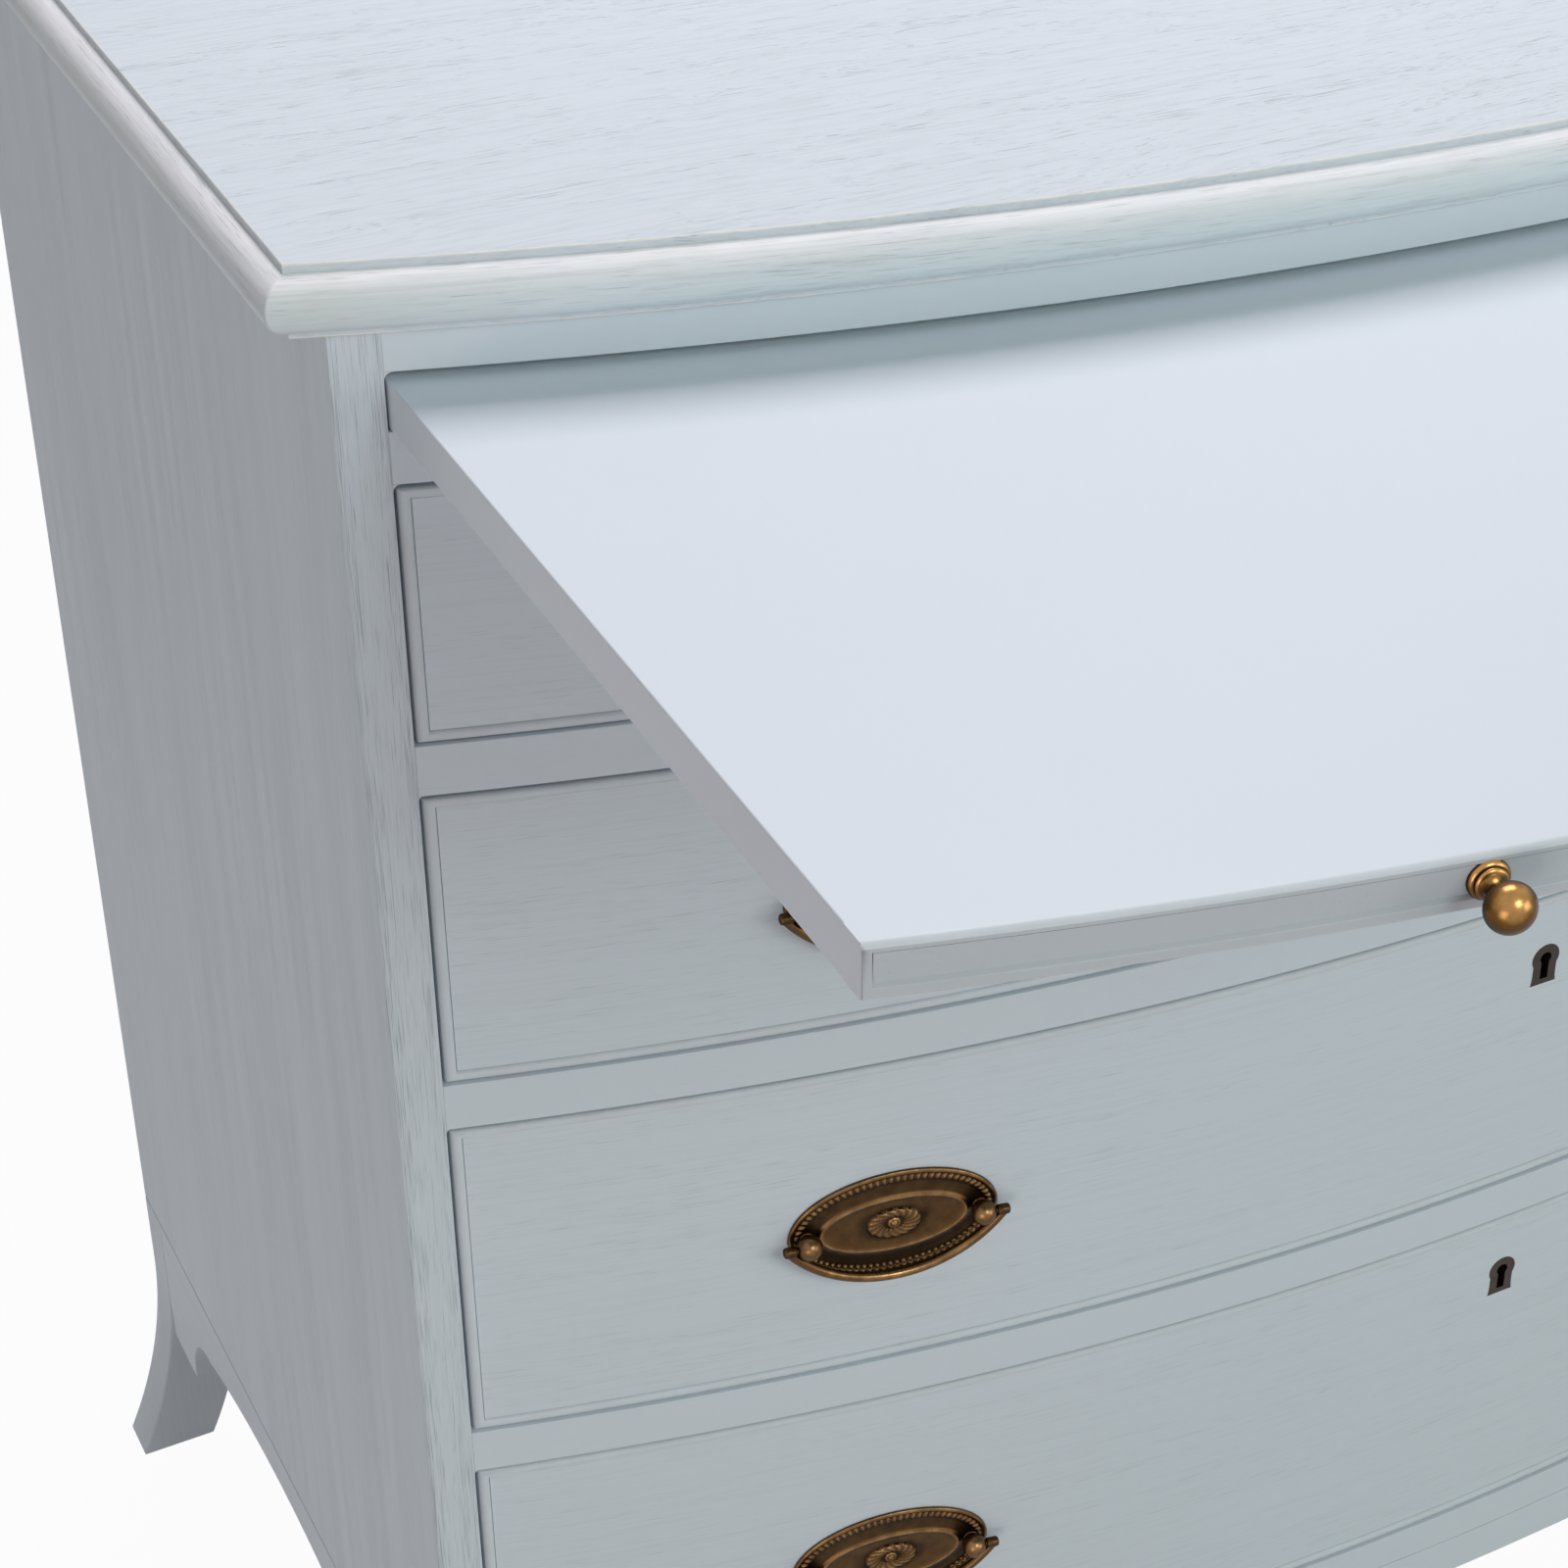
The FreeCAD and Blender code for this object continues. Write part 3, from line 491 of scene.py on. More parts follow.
# How a vector is scaled and then turned so that the grain's run is its X.
GRAIN_RUNS = {"across": ((1, 1, 1), (0, 0, 0)), "upright": ((1, 1, 1), (0, radians(90), 0)),
              "tall": ((1, 1, 0.35), (0, radians(90), 0)), "deep": ((1, 1, 1), (0, 0, radians(90)))}


def fresh_graph(owner):
    """The emptied nodes of a material or a world."""
    owner.use_nodes = True
    owner.node_tree.nodes.clear()
    return Graph(owner.node_tree)


def start_material(name):
    """A material, its graph and the places it is seen at."""
    material = bpy.data.materials.new(name)
    g = fresh_graph(material)
    return material, g, g.add("TexCoord").outputs["Object"]


def finish_material(g, shader):
    g.add("OutputMaterial", Surface=shader.outputs[0])


def surface(g, colour, rough, relief, height, depth=BRUSHED, **more):
    """Ends a material with a Principled shader whose bump follows a height."""
    bump = g.add("Bump", Strength=relief, Distance=depth, Height=height)
    finish_material(g, g.add("BsdfPrincipled", Base_Color=colour, Roughness=rough, Normal=bump.outputs[0],
                             **more))


def grain_vector(g, place, run):
    """The place turned so that the grain's run is its X."""
    if run == "bowed":
        return g.effect(BOWED_PLACE, Vector=place)["Vector"]
    if run == "around":
        behind = g.math("GREATER_THAN", g.axes(place)["Y"], BOX_BACK_FACE)
        return g.mix(behind, grain_vector(g, place, "deep"), grain_vector(g, place, "across"))
    scale, turn = GRAIN_RUNS[run]
    return g.add("Mapping", Vector=place, Scale=scale, Rotation=turn).outputs[0]


def shaded(colour, share):
    """A screen colour taken down by a share."""
    return srgb(*[share * value for value in colour])


def painted_oak(name, run, paint, pore, pores, relief, wander=0.006, rub=0.15, rubbed=(204, 208, 208),
                streak=0.0, crown=None, stain=0.0, fineness=1.0):
    """Pale blue paint over oak. The two numbers for pores are their share of the grain and how much they
    show. Thinner paint makes darker streaks along the fibre, and a moulding's crown is painted lighter as a
    painted highlight."""
    material, g, place = start_material("blue_paint_" + name)
    turned = grain_vector(g, place, run)
    grain = g.effect(OAK_GRAIN, Vector=turned, Wander=wander, Pore_Share=pores[0], Fineness=fineness)
    colour = g.effect(PAINT_CLOUD, Vector=place, Paint=srgb(*paint), Shade=shaded(paint, 0.985),
                      Amount=0.35)["Color"]
    # Painted highlight: a lighter colour over the moulding's upper half.
    if crown:
        colour = g.effect(LIT_CROWN, Vector=place, Color=colour, Crown=srgb(*crown), Amount=1.0)["Color"]
    if streak:
        colour = g.effect(THIN_STREAKS, Fibre=grain["Fibre"], Color=colour, Thin_Paint=shaded(paint, 0.9),
                          Amount=streak)["Color"]
    colour = g.effect(OPEN_PORES, Pores=grain["Pores"], Color=colour, Pore_Colour=srgb(*pore),
                      Amount=pores[1])["Color"]
    colour = g.effect(RUBBED_EDGE, Vector=turned, Edge=g.layer("rub"), Color=colour,
                      Rubbed=srgb(*rubbed), Amount=rub)["Color"]
    if stain:
        colour = g.effect(YELLOW_STAIN, Vector=turned, Color=colour, Stain=srgb(214, 208, 192),
                          Amount=stain)["Color"]
    rough = g.effect(UNEVEN_SHEEN, Figure=grain["Figure"], Sheen=0.46)["Roughness"]
    surface(g, colour, rough, relief, grain["Height"], Specular_IOR_Level=PAINT_SPECULAR)
    return material


def smooth_paint(name, paint, rubbed, rub):
    """The slide's filled and rubbed down paint, with only a breath of unevenness."""
    material, g, place = start_material("blue_paint_" + name)
    ground = g.effect(PAINT_CLOUD, Vector=place, Paint=srgb(*paint), Shade=shaded(paint, 0.985), Amount=0.5)
    colour = g.effect(RUBBED_EDGE, Vector=place, Edge=g.layer("rub"), Color=ground["Color"],
                      Rubbed=srgb(*rubbed), Amount=rub)["Color"]
    rough = g.effect(UNEVEN_SHEEN, Figure=ground["Mask"], Sheen=0.4)["Roughness"]
    surface(g, colour, rough, 0.05, g.noise(place, 420.0), Specular_IOR_Level=PAINT_SPECULAR)
    return material


def bare_oak(name, run):
    """Unpainted oak of the drawer insides and runners."""
    material, g, place = start_material(name)
    grain = g.effect(OAK_GRAIN, Vector=grain_vector(g, place, run), Wander=0.012, Pore_Share=0.75,
                     Fineness=1.0)
    board = g.effect(THIN_STREAKS, Fibre=grain["Figure"], Color=srgb(*OAK_LIGHT),
                     Thin_Paint=shaded(OAK_LIGHT, 0.88), Amount=1.0)["Color"]
    colour = g.effect(OPEN_PORES, Pores=grain["Pores"], Color=board, Pore_Colour=srgb(*OAK_PORE),
                      Amount=0.7)["Color"]
    rough = g.effect(UNEVEN_SHEEN, Figure=grain["Figure"], Sheen=0.6)["Roughness"]
    surface(g, colour, rough, 0.3, grain["Height"], depth=0.0003)
    return material


def cast_metal(name, hollow, crest, bright, sheen, handling):
    """Antiqued metal of one casting, with its own colours and its own amount of painted shade and painted
    highlight by facing.
    """
    material, g, place = start_material(name)
    patina_and_shade = g.effect(WORN_AND_SHADED_METAL, Vector=place, Crest=g.layer("crest"), Handling=handling, Sheen=sheen,
                      Hollow_Colour=srgb(*hollow), Crest_Colour=srgb(*crest), Bright_Colour=srgb(*bright))
    surface(g, patina_and_shade["Color"], patina_and_shade["Roughness"], 0.12, patina_and_shade["Height"], Metallic=1.0)
    return material


def lock_dark(name):
    """The unlit inside of a keyhole."""
    material, g, place = start_material(name)
    # The near black stands for the shade inside the keyhole: painted shade, mottled a little by noise.
    shade_mottle = g.noise(place, 900.0)
    finish_material(g, g.add("BsdfPrincipled", Roughness=g.ramp(shade_mottle, 0.3, 0.7, 0.75, 0.9),
                             Base_Color=g.mix(shade_mottle, srgb(10, 9, 8), srgb(22, 19, 17))))
    return material


TOP_PAINT = painted_oak(
    "top", "across", (213, 222, 229), (186, 194, 199), pores=(0.4, 0.5), relief=1.0, wander=0.06, rub=0.75,
    rubbed=(236, 235, 227), streak=0.4, fineness=0.8)
FRONT_PAINT = painted_oak("front", "bowed", PAINT, PORE, pores=(0.45, 0.3), relief=0.16, streak=0.18)
BEAD_PAINT = painted_oak("beads", "bowed", PAINT, PORE, pores=(0.3, 0.2), relief=0.1, rub=0.4,
                         rubbed=(205, 207, 207))
RAIL_PAINT = painted_oak("rails", "bowed", PAINT, PORE, pores=(0.3, 0.15), relief=0.08)
SIDE_PAINT = painted_oak("sides", "upright", PAINT, PORE, pores=(0.4, 0.15), relief=0.45, wander=0.012,
                         rub=0.05, streak=0.25)
STILE_PAINT = painted_oak("stiles", "tall", PAINT, (128, 138, 143), pores=(0.62, 0.65), relief=0.5,
                          wander=0.003, rub=0.05, streak=0.24, fineness=2.2)
# The crown colour is a painted highlight on the moulding's upper half.
MOULDED = {"pores": (0.5, 0.4), "relief": 0.7, "wander": 0.003, "rub": 0.0, "streak": 0.35,
           "crown": (246, 247, 250)}
# The moulding's paint is lighter and more teal than the chest's own paint, as painted light on the moulding.
MOULDING_PAINT = painted_oak("moulding", "bowed", (218, 228, 232), (176, 172, 164), stain=0.2, **MOULDED)
RETURN_PAINT = painted_oak("moulding_sides", "deep", (218, 226, 230), (165, 168, 166), stain=0.15,
                           **MOULDED)
APRON_PAINT = painted_oak("aprons", "deep", PAINT, PORE, pores=(0.4, 0.15), relief=0.3)
EDGING_PAINT = painted_oak("edging", "across", (190, 196, 202), (154, 158, 160), pores=(0.3, 0.3),
                           relief=0.2, rub=0.3, rubbed=(216, 220, 222))
# The slide's paint is lighter than the rest of the chest's, as painted light on the slide.
SLIDE_PAINT = smooth_paint("slide", (222, 230, 238), rubbed=(206, 208, 208), rub=0.2)
OAK_ACROSS = bare_oak("bare_oak_across", "across")
OAK_DEEP = bare_oak("bare_oak_deep", "deep")
OAK_AROUND = bare_oak("bare_oak_drawer_box", "around")
BRASS = cast_metal("antiqued_brass", hollow=(40, 28, 18), crest=(94, 69, 43), bright=(160, 124, 84),
                   sheen=0.28, handling=0.28)
KNOB_BRASS = cast_metal("knob_brass", hollow=(46, 29, 14), crest=(98, 68, 34), bright=(176, 134, 82),
                        sheen=0.27, handling=0.6)
BRONZE = cast_metal("escutcheon_bronze", hollow=(44, 38, 35), crest=(72, 64, 60), bright=(96, 86, 80),
                    sheen=0.42, handling=0.28)
KEYHOLE = lock_dark("keyhole_dark")


# ---- Top ----

def top_panel():
    """The raised field. Its sides stand behind the moulding."""
    bm = new_mesh()
    block(bm, (-PANEL_HALF, PANEL_FRONT, CARCASS_TOP), (PANEL_HALF, BACK, TOP))
    ease(bm, pick(bm, None, lambda at: at.z > TOP - 1), 0.6)
    ease(bm, pick(bm, None, lambda at: at.z < CARCASS_TOP + 1 and at.y < BACK - 1), 1.0, 4)
    bend(bm)
    piece(bm, "top_panel", "field", "carcass", [TOP_PAINT])


def top_moulding():
    """A half round that runs up the left side, along the bow and back down the right side."""
    bm = new_mesh()
    sweep = 2 * acos(MOULDING_SUNK / MOULDING_RADIUS)
    shoulder = sqrt(MOULDING_RADIUS ** 2 - MOULDING_SUNK ** 2)
    arc(bm, (-PANEL_HALF, BACK, MOULDING_Z + shoulder), (MOULDING_SUNK - PANEL_HALF, BACK, MOULDING_Z),
        -sweep, 20)
    bm.edges.new(loose_ends(bm))
    ring = bm.edges[:]
    corner = PANEL_HALF + PANEL_FRONT
    for step in range(3):
        made = bmesh.ops.extrude_edge_only(bm, edges=ring)["geom"]
        ring = kind(made, BMEdge)
        for vert in kind(made, BMVert):
            if step == 0:
                vert.co.y = vert.co.x + corner
            elif step == 1:
                vert.co.x = -vert.co.x
            else:
                vert.co.y = BACK
        for face in kind(made, BMFace):
            face.material_index = 0 if step == 1 else 1
    close_holes(bm)
    mitre = [edge for edge in bm.edges
             if all(abs(vert.co.y + abs(vert.co.x) - corner) < 0.01 for vert in edge.verts)
             and any(abs(vert.co.x) > PANEL_HALF + 0.01 for vert in edge.verts)]
    bevel(bm, mitre, 0.8, 3)
    bend(bm)
    piece(bm, "top_moulding", "half_round", "carcass", [MOULDING_PAINT, RETURN_PAINT])


# ---- Carcass ----

def carcass_side(side, sign):
    """Side board from its plan: rebated for the back panel, with a groove line along its foot."""
    bm = new_mesh()
    plan = ((HALF, 0), (INNER, 0), (INNER, BACK_PANEL), (REBATE, BACK_PANEL), (REBATE, BACK), (HALF, BACK))
    top = bm.faces.new([bm.verts.new((sign * x, y, CARCASS_TOP)) for x, y in plan])
    low = push(bm, [top], (0, 0, BASE + GROOVE - CARCASS_TOP))
    close_holes(bm)
    low = push(bm, low, (0, 0, 0))
    for vert in low[0].verts:
        if abs(vert.co.x) > HALF - NEAR:
            vert.co.x -= sign * GROOVE
    push(bm, low, (0, 0, -GROOVE))
    ease(bm, pick(bm, 2, lambda at: abs(at.x) > HALF - NEAR and at.z > BASE + 2), 1.3, 4)
    ease(bm, pick(bm, 2, lambda at: abs(at.x) < INNER + NEAR and at.y < 1), 0.3)
    ease(bm, pick(bm, 1, lambda at: abs(at.x) > HALF - NEAR and at.z < BASE + 2), 0.4)
    bend(bm)
    piece(bm, "side_" + side, "", "carcass", [SIDE_PAINT, STILE_PAINT],
          lambda face: 1 if face.normal.y < -0.55 else 0, name="carcass_side_" + side)


def corner_fillet(bm, sign, low, radius):
    """Fills the upper corner of the opening under a rail with a small hollow fillet."""
    start_x = sign * (INNER - radius)
    part = new_mesh()
    arc(part, (start_x, 0, low), (start_x, 0, low - radius), sign * pi / 2, 6)
    ends = loose_ends(part)
    corner = part.verts.new((sign * INNER, 0, low))
    for end in ends:
        part.edges.new((corner, end))
    flat = bmesh.ops.contextual_create(part, geom=part.edges[:])["faces"]
    lift(part, flat, (0, RAIL_BACK, 0))
    join(bm, part)


def bowed_rail(name, low, high, fillet):
    """A rail that follows the bow in front and ends in one straight back."""
    bm = new_mesh()
    block(bm, (-INNER, 0, low), (INNER, RAIL_BACK + 100, high))
    ease(bm, pick(bm, None, lambda at: at.y < 1), RAIL_EDGE)
    for sign in SIDES.values():
        corner_fillet(bm, sign, low, fillet)
    bend(bm)
    for vert in bm.verts:
        vert.co.y = min(vert.co.y, RAIL_BACK)
    piece(bm, name, "painted", "carcass", [RAIL_PAINT])


def bottom_board():
    """The lowest board, with the groove line along its foot."""
    bm = new_mesh()
    block(bm, (-INNER, 0, BASE + GROOVE), (INNER, BACK_PANEL, OPENINGS["drawer_4"][0]))
    low = push(bm, [face for face in bm.faces if face.normal.z < -0.9], (0, 0, 0))
    for vert in low[0].verts:
        if vert.co.y < 1:
            vert.co.y += GROOVE
    push(bm, low, (0, 0, -GROOVE))
    ease(bm, pick(bm, None, lambda at: at.y < NEAR), RAIL_EDGE)
    bend(bm)
    piece(bm, "bottom_board", "painted", "carcass", [RAIL_PAINT])


def from_frame(node, width, finish):
    """A foot or apron whose sharp edges are eased."""
    bm = new_mesh()
    bm.from_mesh(nodes[node].data)
    bmesh.ops.remove_doubles(bm, verts=bm.verts, dist=1e-5)
    bmesh.ops.scale(bm, vec=(1 / MM, 1 / MM, 1 / MM), verts=bm.verts)
    bmesh.ops.dissolve_limit(bm, angle_limit=radians(0.5), verts=bm.verts, edges=bm.edges)
    ease(bm, [edge for edge in bm.edges if edge.calc_face_angle(0) > radians(35)], width, 2)
    piece(bm, node, "eased", "carcass", [finish])


# ---- Brushing slide ----

def slide_board():
    bm = new_mesh()
    block(bm, (-SLIDE_HALF, EDGING, SLIDE_LOW), (SLIDE_HALF, SLIDE_BACK, SLIDE_HIGH))
    ease(bm, pick(bm, 1, lambda at: True), 0.6)
    bend(bm, SLIDE_REACH)
    piece(bm, "slide_board", "painted", "slide", [SLIDE_PAINT])


def slide_edging():
    """Front edging: a panel leans back from its lower edge within a raised border, and a fine joint runs
    above it and at its ends."""
    bm = new_mesh()
    block(bm, (-SLIDE_HALF, EDGE_TUCK, SLIDE_LOW), (SLIDE_HALF, EDGING, SLIDE_HIGH))
    front = [face for face in bm.faces if face.normal.y < -0.9]
    bmesh.ops.inset_region(bm, faces=front, thickness=LIP, use_even_offset=True)
    for vert in front[0].verts:
        vert.co.z += LIP_BELOW - LIP if vert.co.z < SLIDE_MIDDLE else LIP - LIP_ABOVE
    panel = push(bm, front, (0, RECESS, 0))
    for vert in panel[0].verts:
        if vert.co.z > SLIDE_MIDDLE:
            vert.co.y = EDGE_TUCK + PANEL_TOP_IN
        else:
            vert.co.z += RECESS
    ends = SLIDE_HALF - LIP - JOINT
    upper = SLIDE_HIGH - LIP_ABOVE - JOINT
    for at, along in (((ends, 0, 0), (1, 0, 0)), ((-ends, 0, 0), (1, 0, 0)), ((0, 0, upper), (0, 0, 1))):
        rims = {item for face in panel for item in (*face.edges, *face.verts)}
        panel = cut(bm, [*panel, *rims], at, along)
    middles = {face: face.calc_center_median() for face in panel}
    push(bm, [face for face in panel if abs(middles[face].x) > ends or middles[face].z > upper],
         (0, JOINT_DEPTH, 0))

    def front_edges(axis, test):
        return pick(bm, axis, lambda at: at.y < EDGE_TUCK + NEAR and test(at))

    ease(bm, front_edges(None, lambda at: abs(at.x) < SLIDE_HALF - 1
                         and SLIDE_LOW + 1 < at.z < SLIDE_HIGH - 1), 0.25)
    ease(bm, front_edges(0, lambda at: at.z > SLIDE_HIGH - NEAR), 1.8, 8)
    ease(bm, front_edges(0, lambda at: at.z < SLIDE_LOW + NEAR), 0.9)
    bend(bm, SLIDE_REACH)

    def finish_of(face):
        """The board's paint runs over the upper arris and the ends."""
        middle = face.calc_center_median()
        return 1 if middle.z > SLIDE_HIGH - 2.2 or abs(middle.x) > SLIDE_HALF - 0.01 else 0

    piece(bm, "slide_edging", "painted", "slide", [EDGING_PAINT, SLIDE_PAINT], finish_of)


def rotate(bm, angle, axis, centre=(0, 0, 0)):
    bmesh.ops.rotate(bm, verts=bm.verts[:], cent=centre, matrix=Matrix.Rotation(angle, 3, axis))


def move(bm, by):
    bmesh.ops.translate(bm, verts=bm.verts[:], vec=by)


def mount(bm, sign, depth, z, reach=0.0):
    """Moves a fitting from its own frame (X along, -Y out) to its place on the bow."""
    radius = BOW_RADIUS - depth
    turn = sign * HANDLE_TURN
    rotate(bm, turn, "Z")
    move(bm, (radius * sin(turn), BOW_Y - radius * cos(turn) - reach, z))


def turned(bm, profile, steps=48):
    """Spins a profile of (radius, height, crest) about the -Y axis."""
    crest = bm.verts.layers.float["crest"]
    line = []
    for radius, height, shine in profile:
        vert = bm.verts.new((radius, -height, 0))
        vert[crest] = shine
        line.append(vert)
    edges = [bm.edges.new(pair) for pair in zip(line, line[1:])]
    bmesh.ops.spin(bm, geom=line + edges, cent=(0, 0, 0), axis=(0, 1, 0), angle=2 * pi, steps=steps,
                   use_merge=True, use_duplicate=False)
    bmesh.ops.remove_doubles(bm, verts=bm.verts[:], dist=TOLERANCE)


def round_profile(radius, flat, centre, start, shine, steps=22):
    """Profile of a ball from an angle off its axis, at the neck, to its far pole."""
    points = []
    for index in range(steps + 1):
        angle = start + (pi - start) * index / steps
        points.append((radius * sin(angle) if index < steps else 0.0, centre - flat * cos(angle), shine))
    return points


def slide_knobs():
    """Two knobs: a rose with turned rings, a neck and a slightly flattened ball."""
    whole = new_mesh()
    foot = [(0, -0.4, 0.3), (6.2, -0.4, 0.3), (6.42, 0.3, 0.4), (6.45, 0.9, 0.6), (6.25, 1.5, 0.85),
            (5.8, 2.0, 0.8), (5.3, 2.25, 0.4), (5.05, 2.3, 0.05), (5.0, 2.45, 0.05), (5.15, 2.8, 0.6),
            (5.0, 3.25, 0.85), (4.55, 3.6, 0.7), (4.0, 3.75, 0.3), (3.6, 4.1, 0.4), (3.25, 4.8, 0.5),
            (3.05, 5.7, 0.6), (3.0, 6.5, 0.55), (3.1, 7.2, 0.4)]
    for sign in SIDES.values():
        bm = new_mesh()
        turned(bm, foot + round_profile(7.6, 6.6, 14.2, 0.46, 0.6))
        mount(bm, sign, RECESS, SLIDE_MIDDLE, SLIDE_REACH)
        join(whole, bm)
    piece(whole, "slide_knobs", "turned", "slide", [KNOB_BRASS], slot="old_brass", sharp=60)


# ---- Handles ----

PLATE_HALF = 43.5       # half the plate's length
PLATE_RISE = 26.0       # half the plate's height
RIBS = 72
RIB_STEPS = 5           # points across one rib and its hollow
AROUND = RIBS * RIB_STEPS
ROSETTE_HALF = 11.4
ROSETTE_RISE = 7.2
PETALS = 16
SWIRL = 0.9             # turn of the petals from the rosette's rim to its middle


def oval_turns():
    """Angles that divide the plate's outline into equal lengths."""
    fine = 7200
    points = [(PLATE_HALF * cos(2 * pi * i / fine), PLATE_RISE * sin(2 * pi * i / fine))
              for i in range(fine + 1)]
    run = [0.0]
    for a, b in zip(points, points[1:]):
        run.append(run[-1] + sqrt((b[0] - a[0]) ** 2 + (b[1] - a[1]) ** 2))
    turns, at = [], 0
    for index in range(AROUND):
        while run[at] < run[-1] * index / AROUND:
            at += 1
        turns.append(2 * pi * at / fine)
    return turns


OVAL = oval_turns()

# Rings of the plate from its back edge inwards: half length, half height, height, crest, rib height.
PLATE_RINGS = (
    (43.3, 25.8, 0.0, 0.3, 0.0), (43.5, 26.0, 0.2, 0.35, 0.0), (43.5, 26.0, 0.75, 0.45, 0.0),
    (43.25, 25.75, 1.15, 0.55, 0.0), (42.75, 25.25, 1.4, 0.65, 0.0), (42.15, 24.65, 1.45, 0.65, 0.0),
    (41.6, 24.1, 1.25, 0.45, 0.0), (41.2, 23.7, 0.85, 0.05, 0.1), (40.9, 23.4, 0.8, 0.2, 0.7),
    (40.3, 22.8, 0.85, 0.5, 1.0), (39.1, 21.6, 0.8, 0.45, 0.95), (38.4, 20.9, 0.7, 0.15, 0.5),
    (38.0, 20.5, 0.62, 0.1, 0.0), (36.8, 19.3, 0.6, 0.2, 0.0), (33.4, 15.9, 0.72, 0.22, 0.0),
    (32.4, 14.9, 0.85, 0.15, 0.0), (31.9, 14.4, 1.15, 0.3, 0.0), (31.3, 13.85, 1.55, 0.55, 0.0),
    (30.6, 13.25, 1.8, 0.75, 0.0), (29.8, 12.6, 1.8, 0.75, 0.0), (29.0, 12.0, 1.5, 0.5, 0.0),
    (27.8, 11.2, 1.2, 0.38, 0.0), (23.0, 10.2, 1.0, 0.36, 0.0), (17.0, 9.0, 0.9, 0.34, 0.0),
    (12.4, 7.9, 0.88, 0.12, 0.0))

# Rings of the rosette: share of its outline, height, crest, petal height.
ROSETTE_RINGS = (
    (1.0, 0.86, 0.0, 0.0), (0.965, 1.15, 0.25, 0.45), (0.9, 1.4, 0.45, 0.62), (0.78, 1.5, 0.5, 0.68),
    (0.64, 1.45, 0.45, 0.6), (0.5, 1.3, 0.3, 0.48), (0.4, 1.12, 0.1, 0.3), (0.345, 1.0, 0.0, 0.0))

# Rings of the button in its middle: radius, height, crest.
BUTTON_RINGS = (
    (2.7, 1.05, 0.1), (2.45, 1.5, 0.7), (2.0, 1.6, 0.75), (1.75, 1.45, 0.2), (1.5, 1.6, 0.4),
    (1.0, 2.0, 0.7), (0.5, 2.15, 0.75))


def plate():
    """Oval plate: rim, ribbed band, dark band, raised oval and a swirled rosette, bent to the bow."""
    bm = new_mesh()
    crest = bm.verts.layers.float["crest"]
    first = bmesh.ops.create_circle(bm, cap_ends=False, radius=1.0, segments=AROUND)["verts"]
    numbers = {vert: number for number, vert in enumerate(sorted(first, key=lambda vert: vert.index))}
    ring = bm.edges[:]

    def lay(half_x, half_z, height, shine, rib=0.0, petal=0.0, swirl=0.0):
        """Gives the points of the newest ring their places, ribbed or petalled."""
        for vert, number in numbers.items():
            turn = OVAL[number]
            wave = 0.5 - 0.5 * cos(2 * pi * number / RIB_STEPS)
            leaf = abs(sin(PETALS * (turn + swirl) / 2)) ** 0.7
            x, z = half_x * cos(turn), half_z * sin(turn)
            rise = height + rib * wave + petal * leaf
            vert.co = (x, x * x / (2 * BOW_RADIUS) - rise, z)
            proud = wave if rib else leaf if petal else 0.5
            vert[crest] = min(1.0, shine + 0.55 * (proud - 0.5))

    def next_ring():
        """Extrudes the newest ring and carries each point's number over."""
        nonlocal numbers, ring
        made = bmesh.ops.extrude_edge_only(bm, edges=ring)["geom"]
        ring = kind(made, BMEdge)
        fresh = set(kind(made, BMVert))
        numbers = {edge.other_vert(old): number for old, number in numbers.items()
                   for edge in old.link_edges if edge.other_vert(old) in fresh}

    lay(*PLATE_RINGS[0])
    bmesh.ops.contextual_create(bm, geom=ring)
    for sizes in PLATE_RINGS[1:]:
        next_ring()
        lay(*sizes)
    for share, height, shine, petal in ROSETTE_RINGS:
        next_ring()
        lay(ROSETTE_HALF * share, ROSETTE_RISE * share + 0.35 * (1 - share), height, shine, petal=petal,
            swirl=SWIRL * (1 - share))
    for radius, height, shine in BUTTON_RINGS:
        next_ring()
        lay(radius, radius * 0.92, height, shine)
    bmesh.ops.contextual_create(bm, geom=ring)
    return bm


def post(sign):
    """Ball headed post on a collar, with its shank inside the drawer."""
    bm = new_mesh()
    foot = [(0, -24.5, 0.3), (2.0, -24.5, 0.3), (2.0, 0.3, 0.2), (3.3, 0.35, 0.1), (3.4, 1.0, 0.3),
            (3.0, 1.35, 0.4), (2.3, 1.6, 0.2)]
    turned(bm, foot + round_profile(BALL, BALL, POST_OUT, 0.47, 0.6, 18), 36)
    move(bm, (sign * POST_X, POST_X ** 2 / (2 * BOW_RADIUS), 0))
    return bm


def handle_plates(body, z):
    """Both handles of a drawer: each a plate with its two posts."""
    whole = new_mesh()
    for sign in SIDES.values():
        for bm in (plate(), *(post(post_sign) for post_sign in SIDES.values())):
            mount(bm, sign, FACE, z)
            join(whole, bm)
    piece(whole, body + "_handle_plates", "cast", body, [BRASS], slot="old_brass", sharp=70)


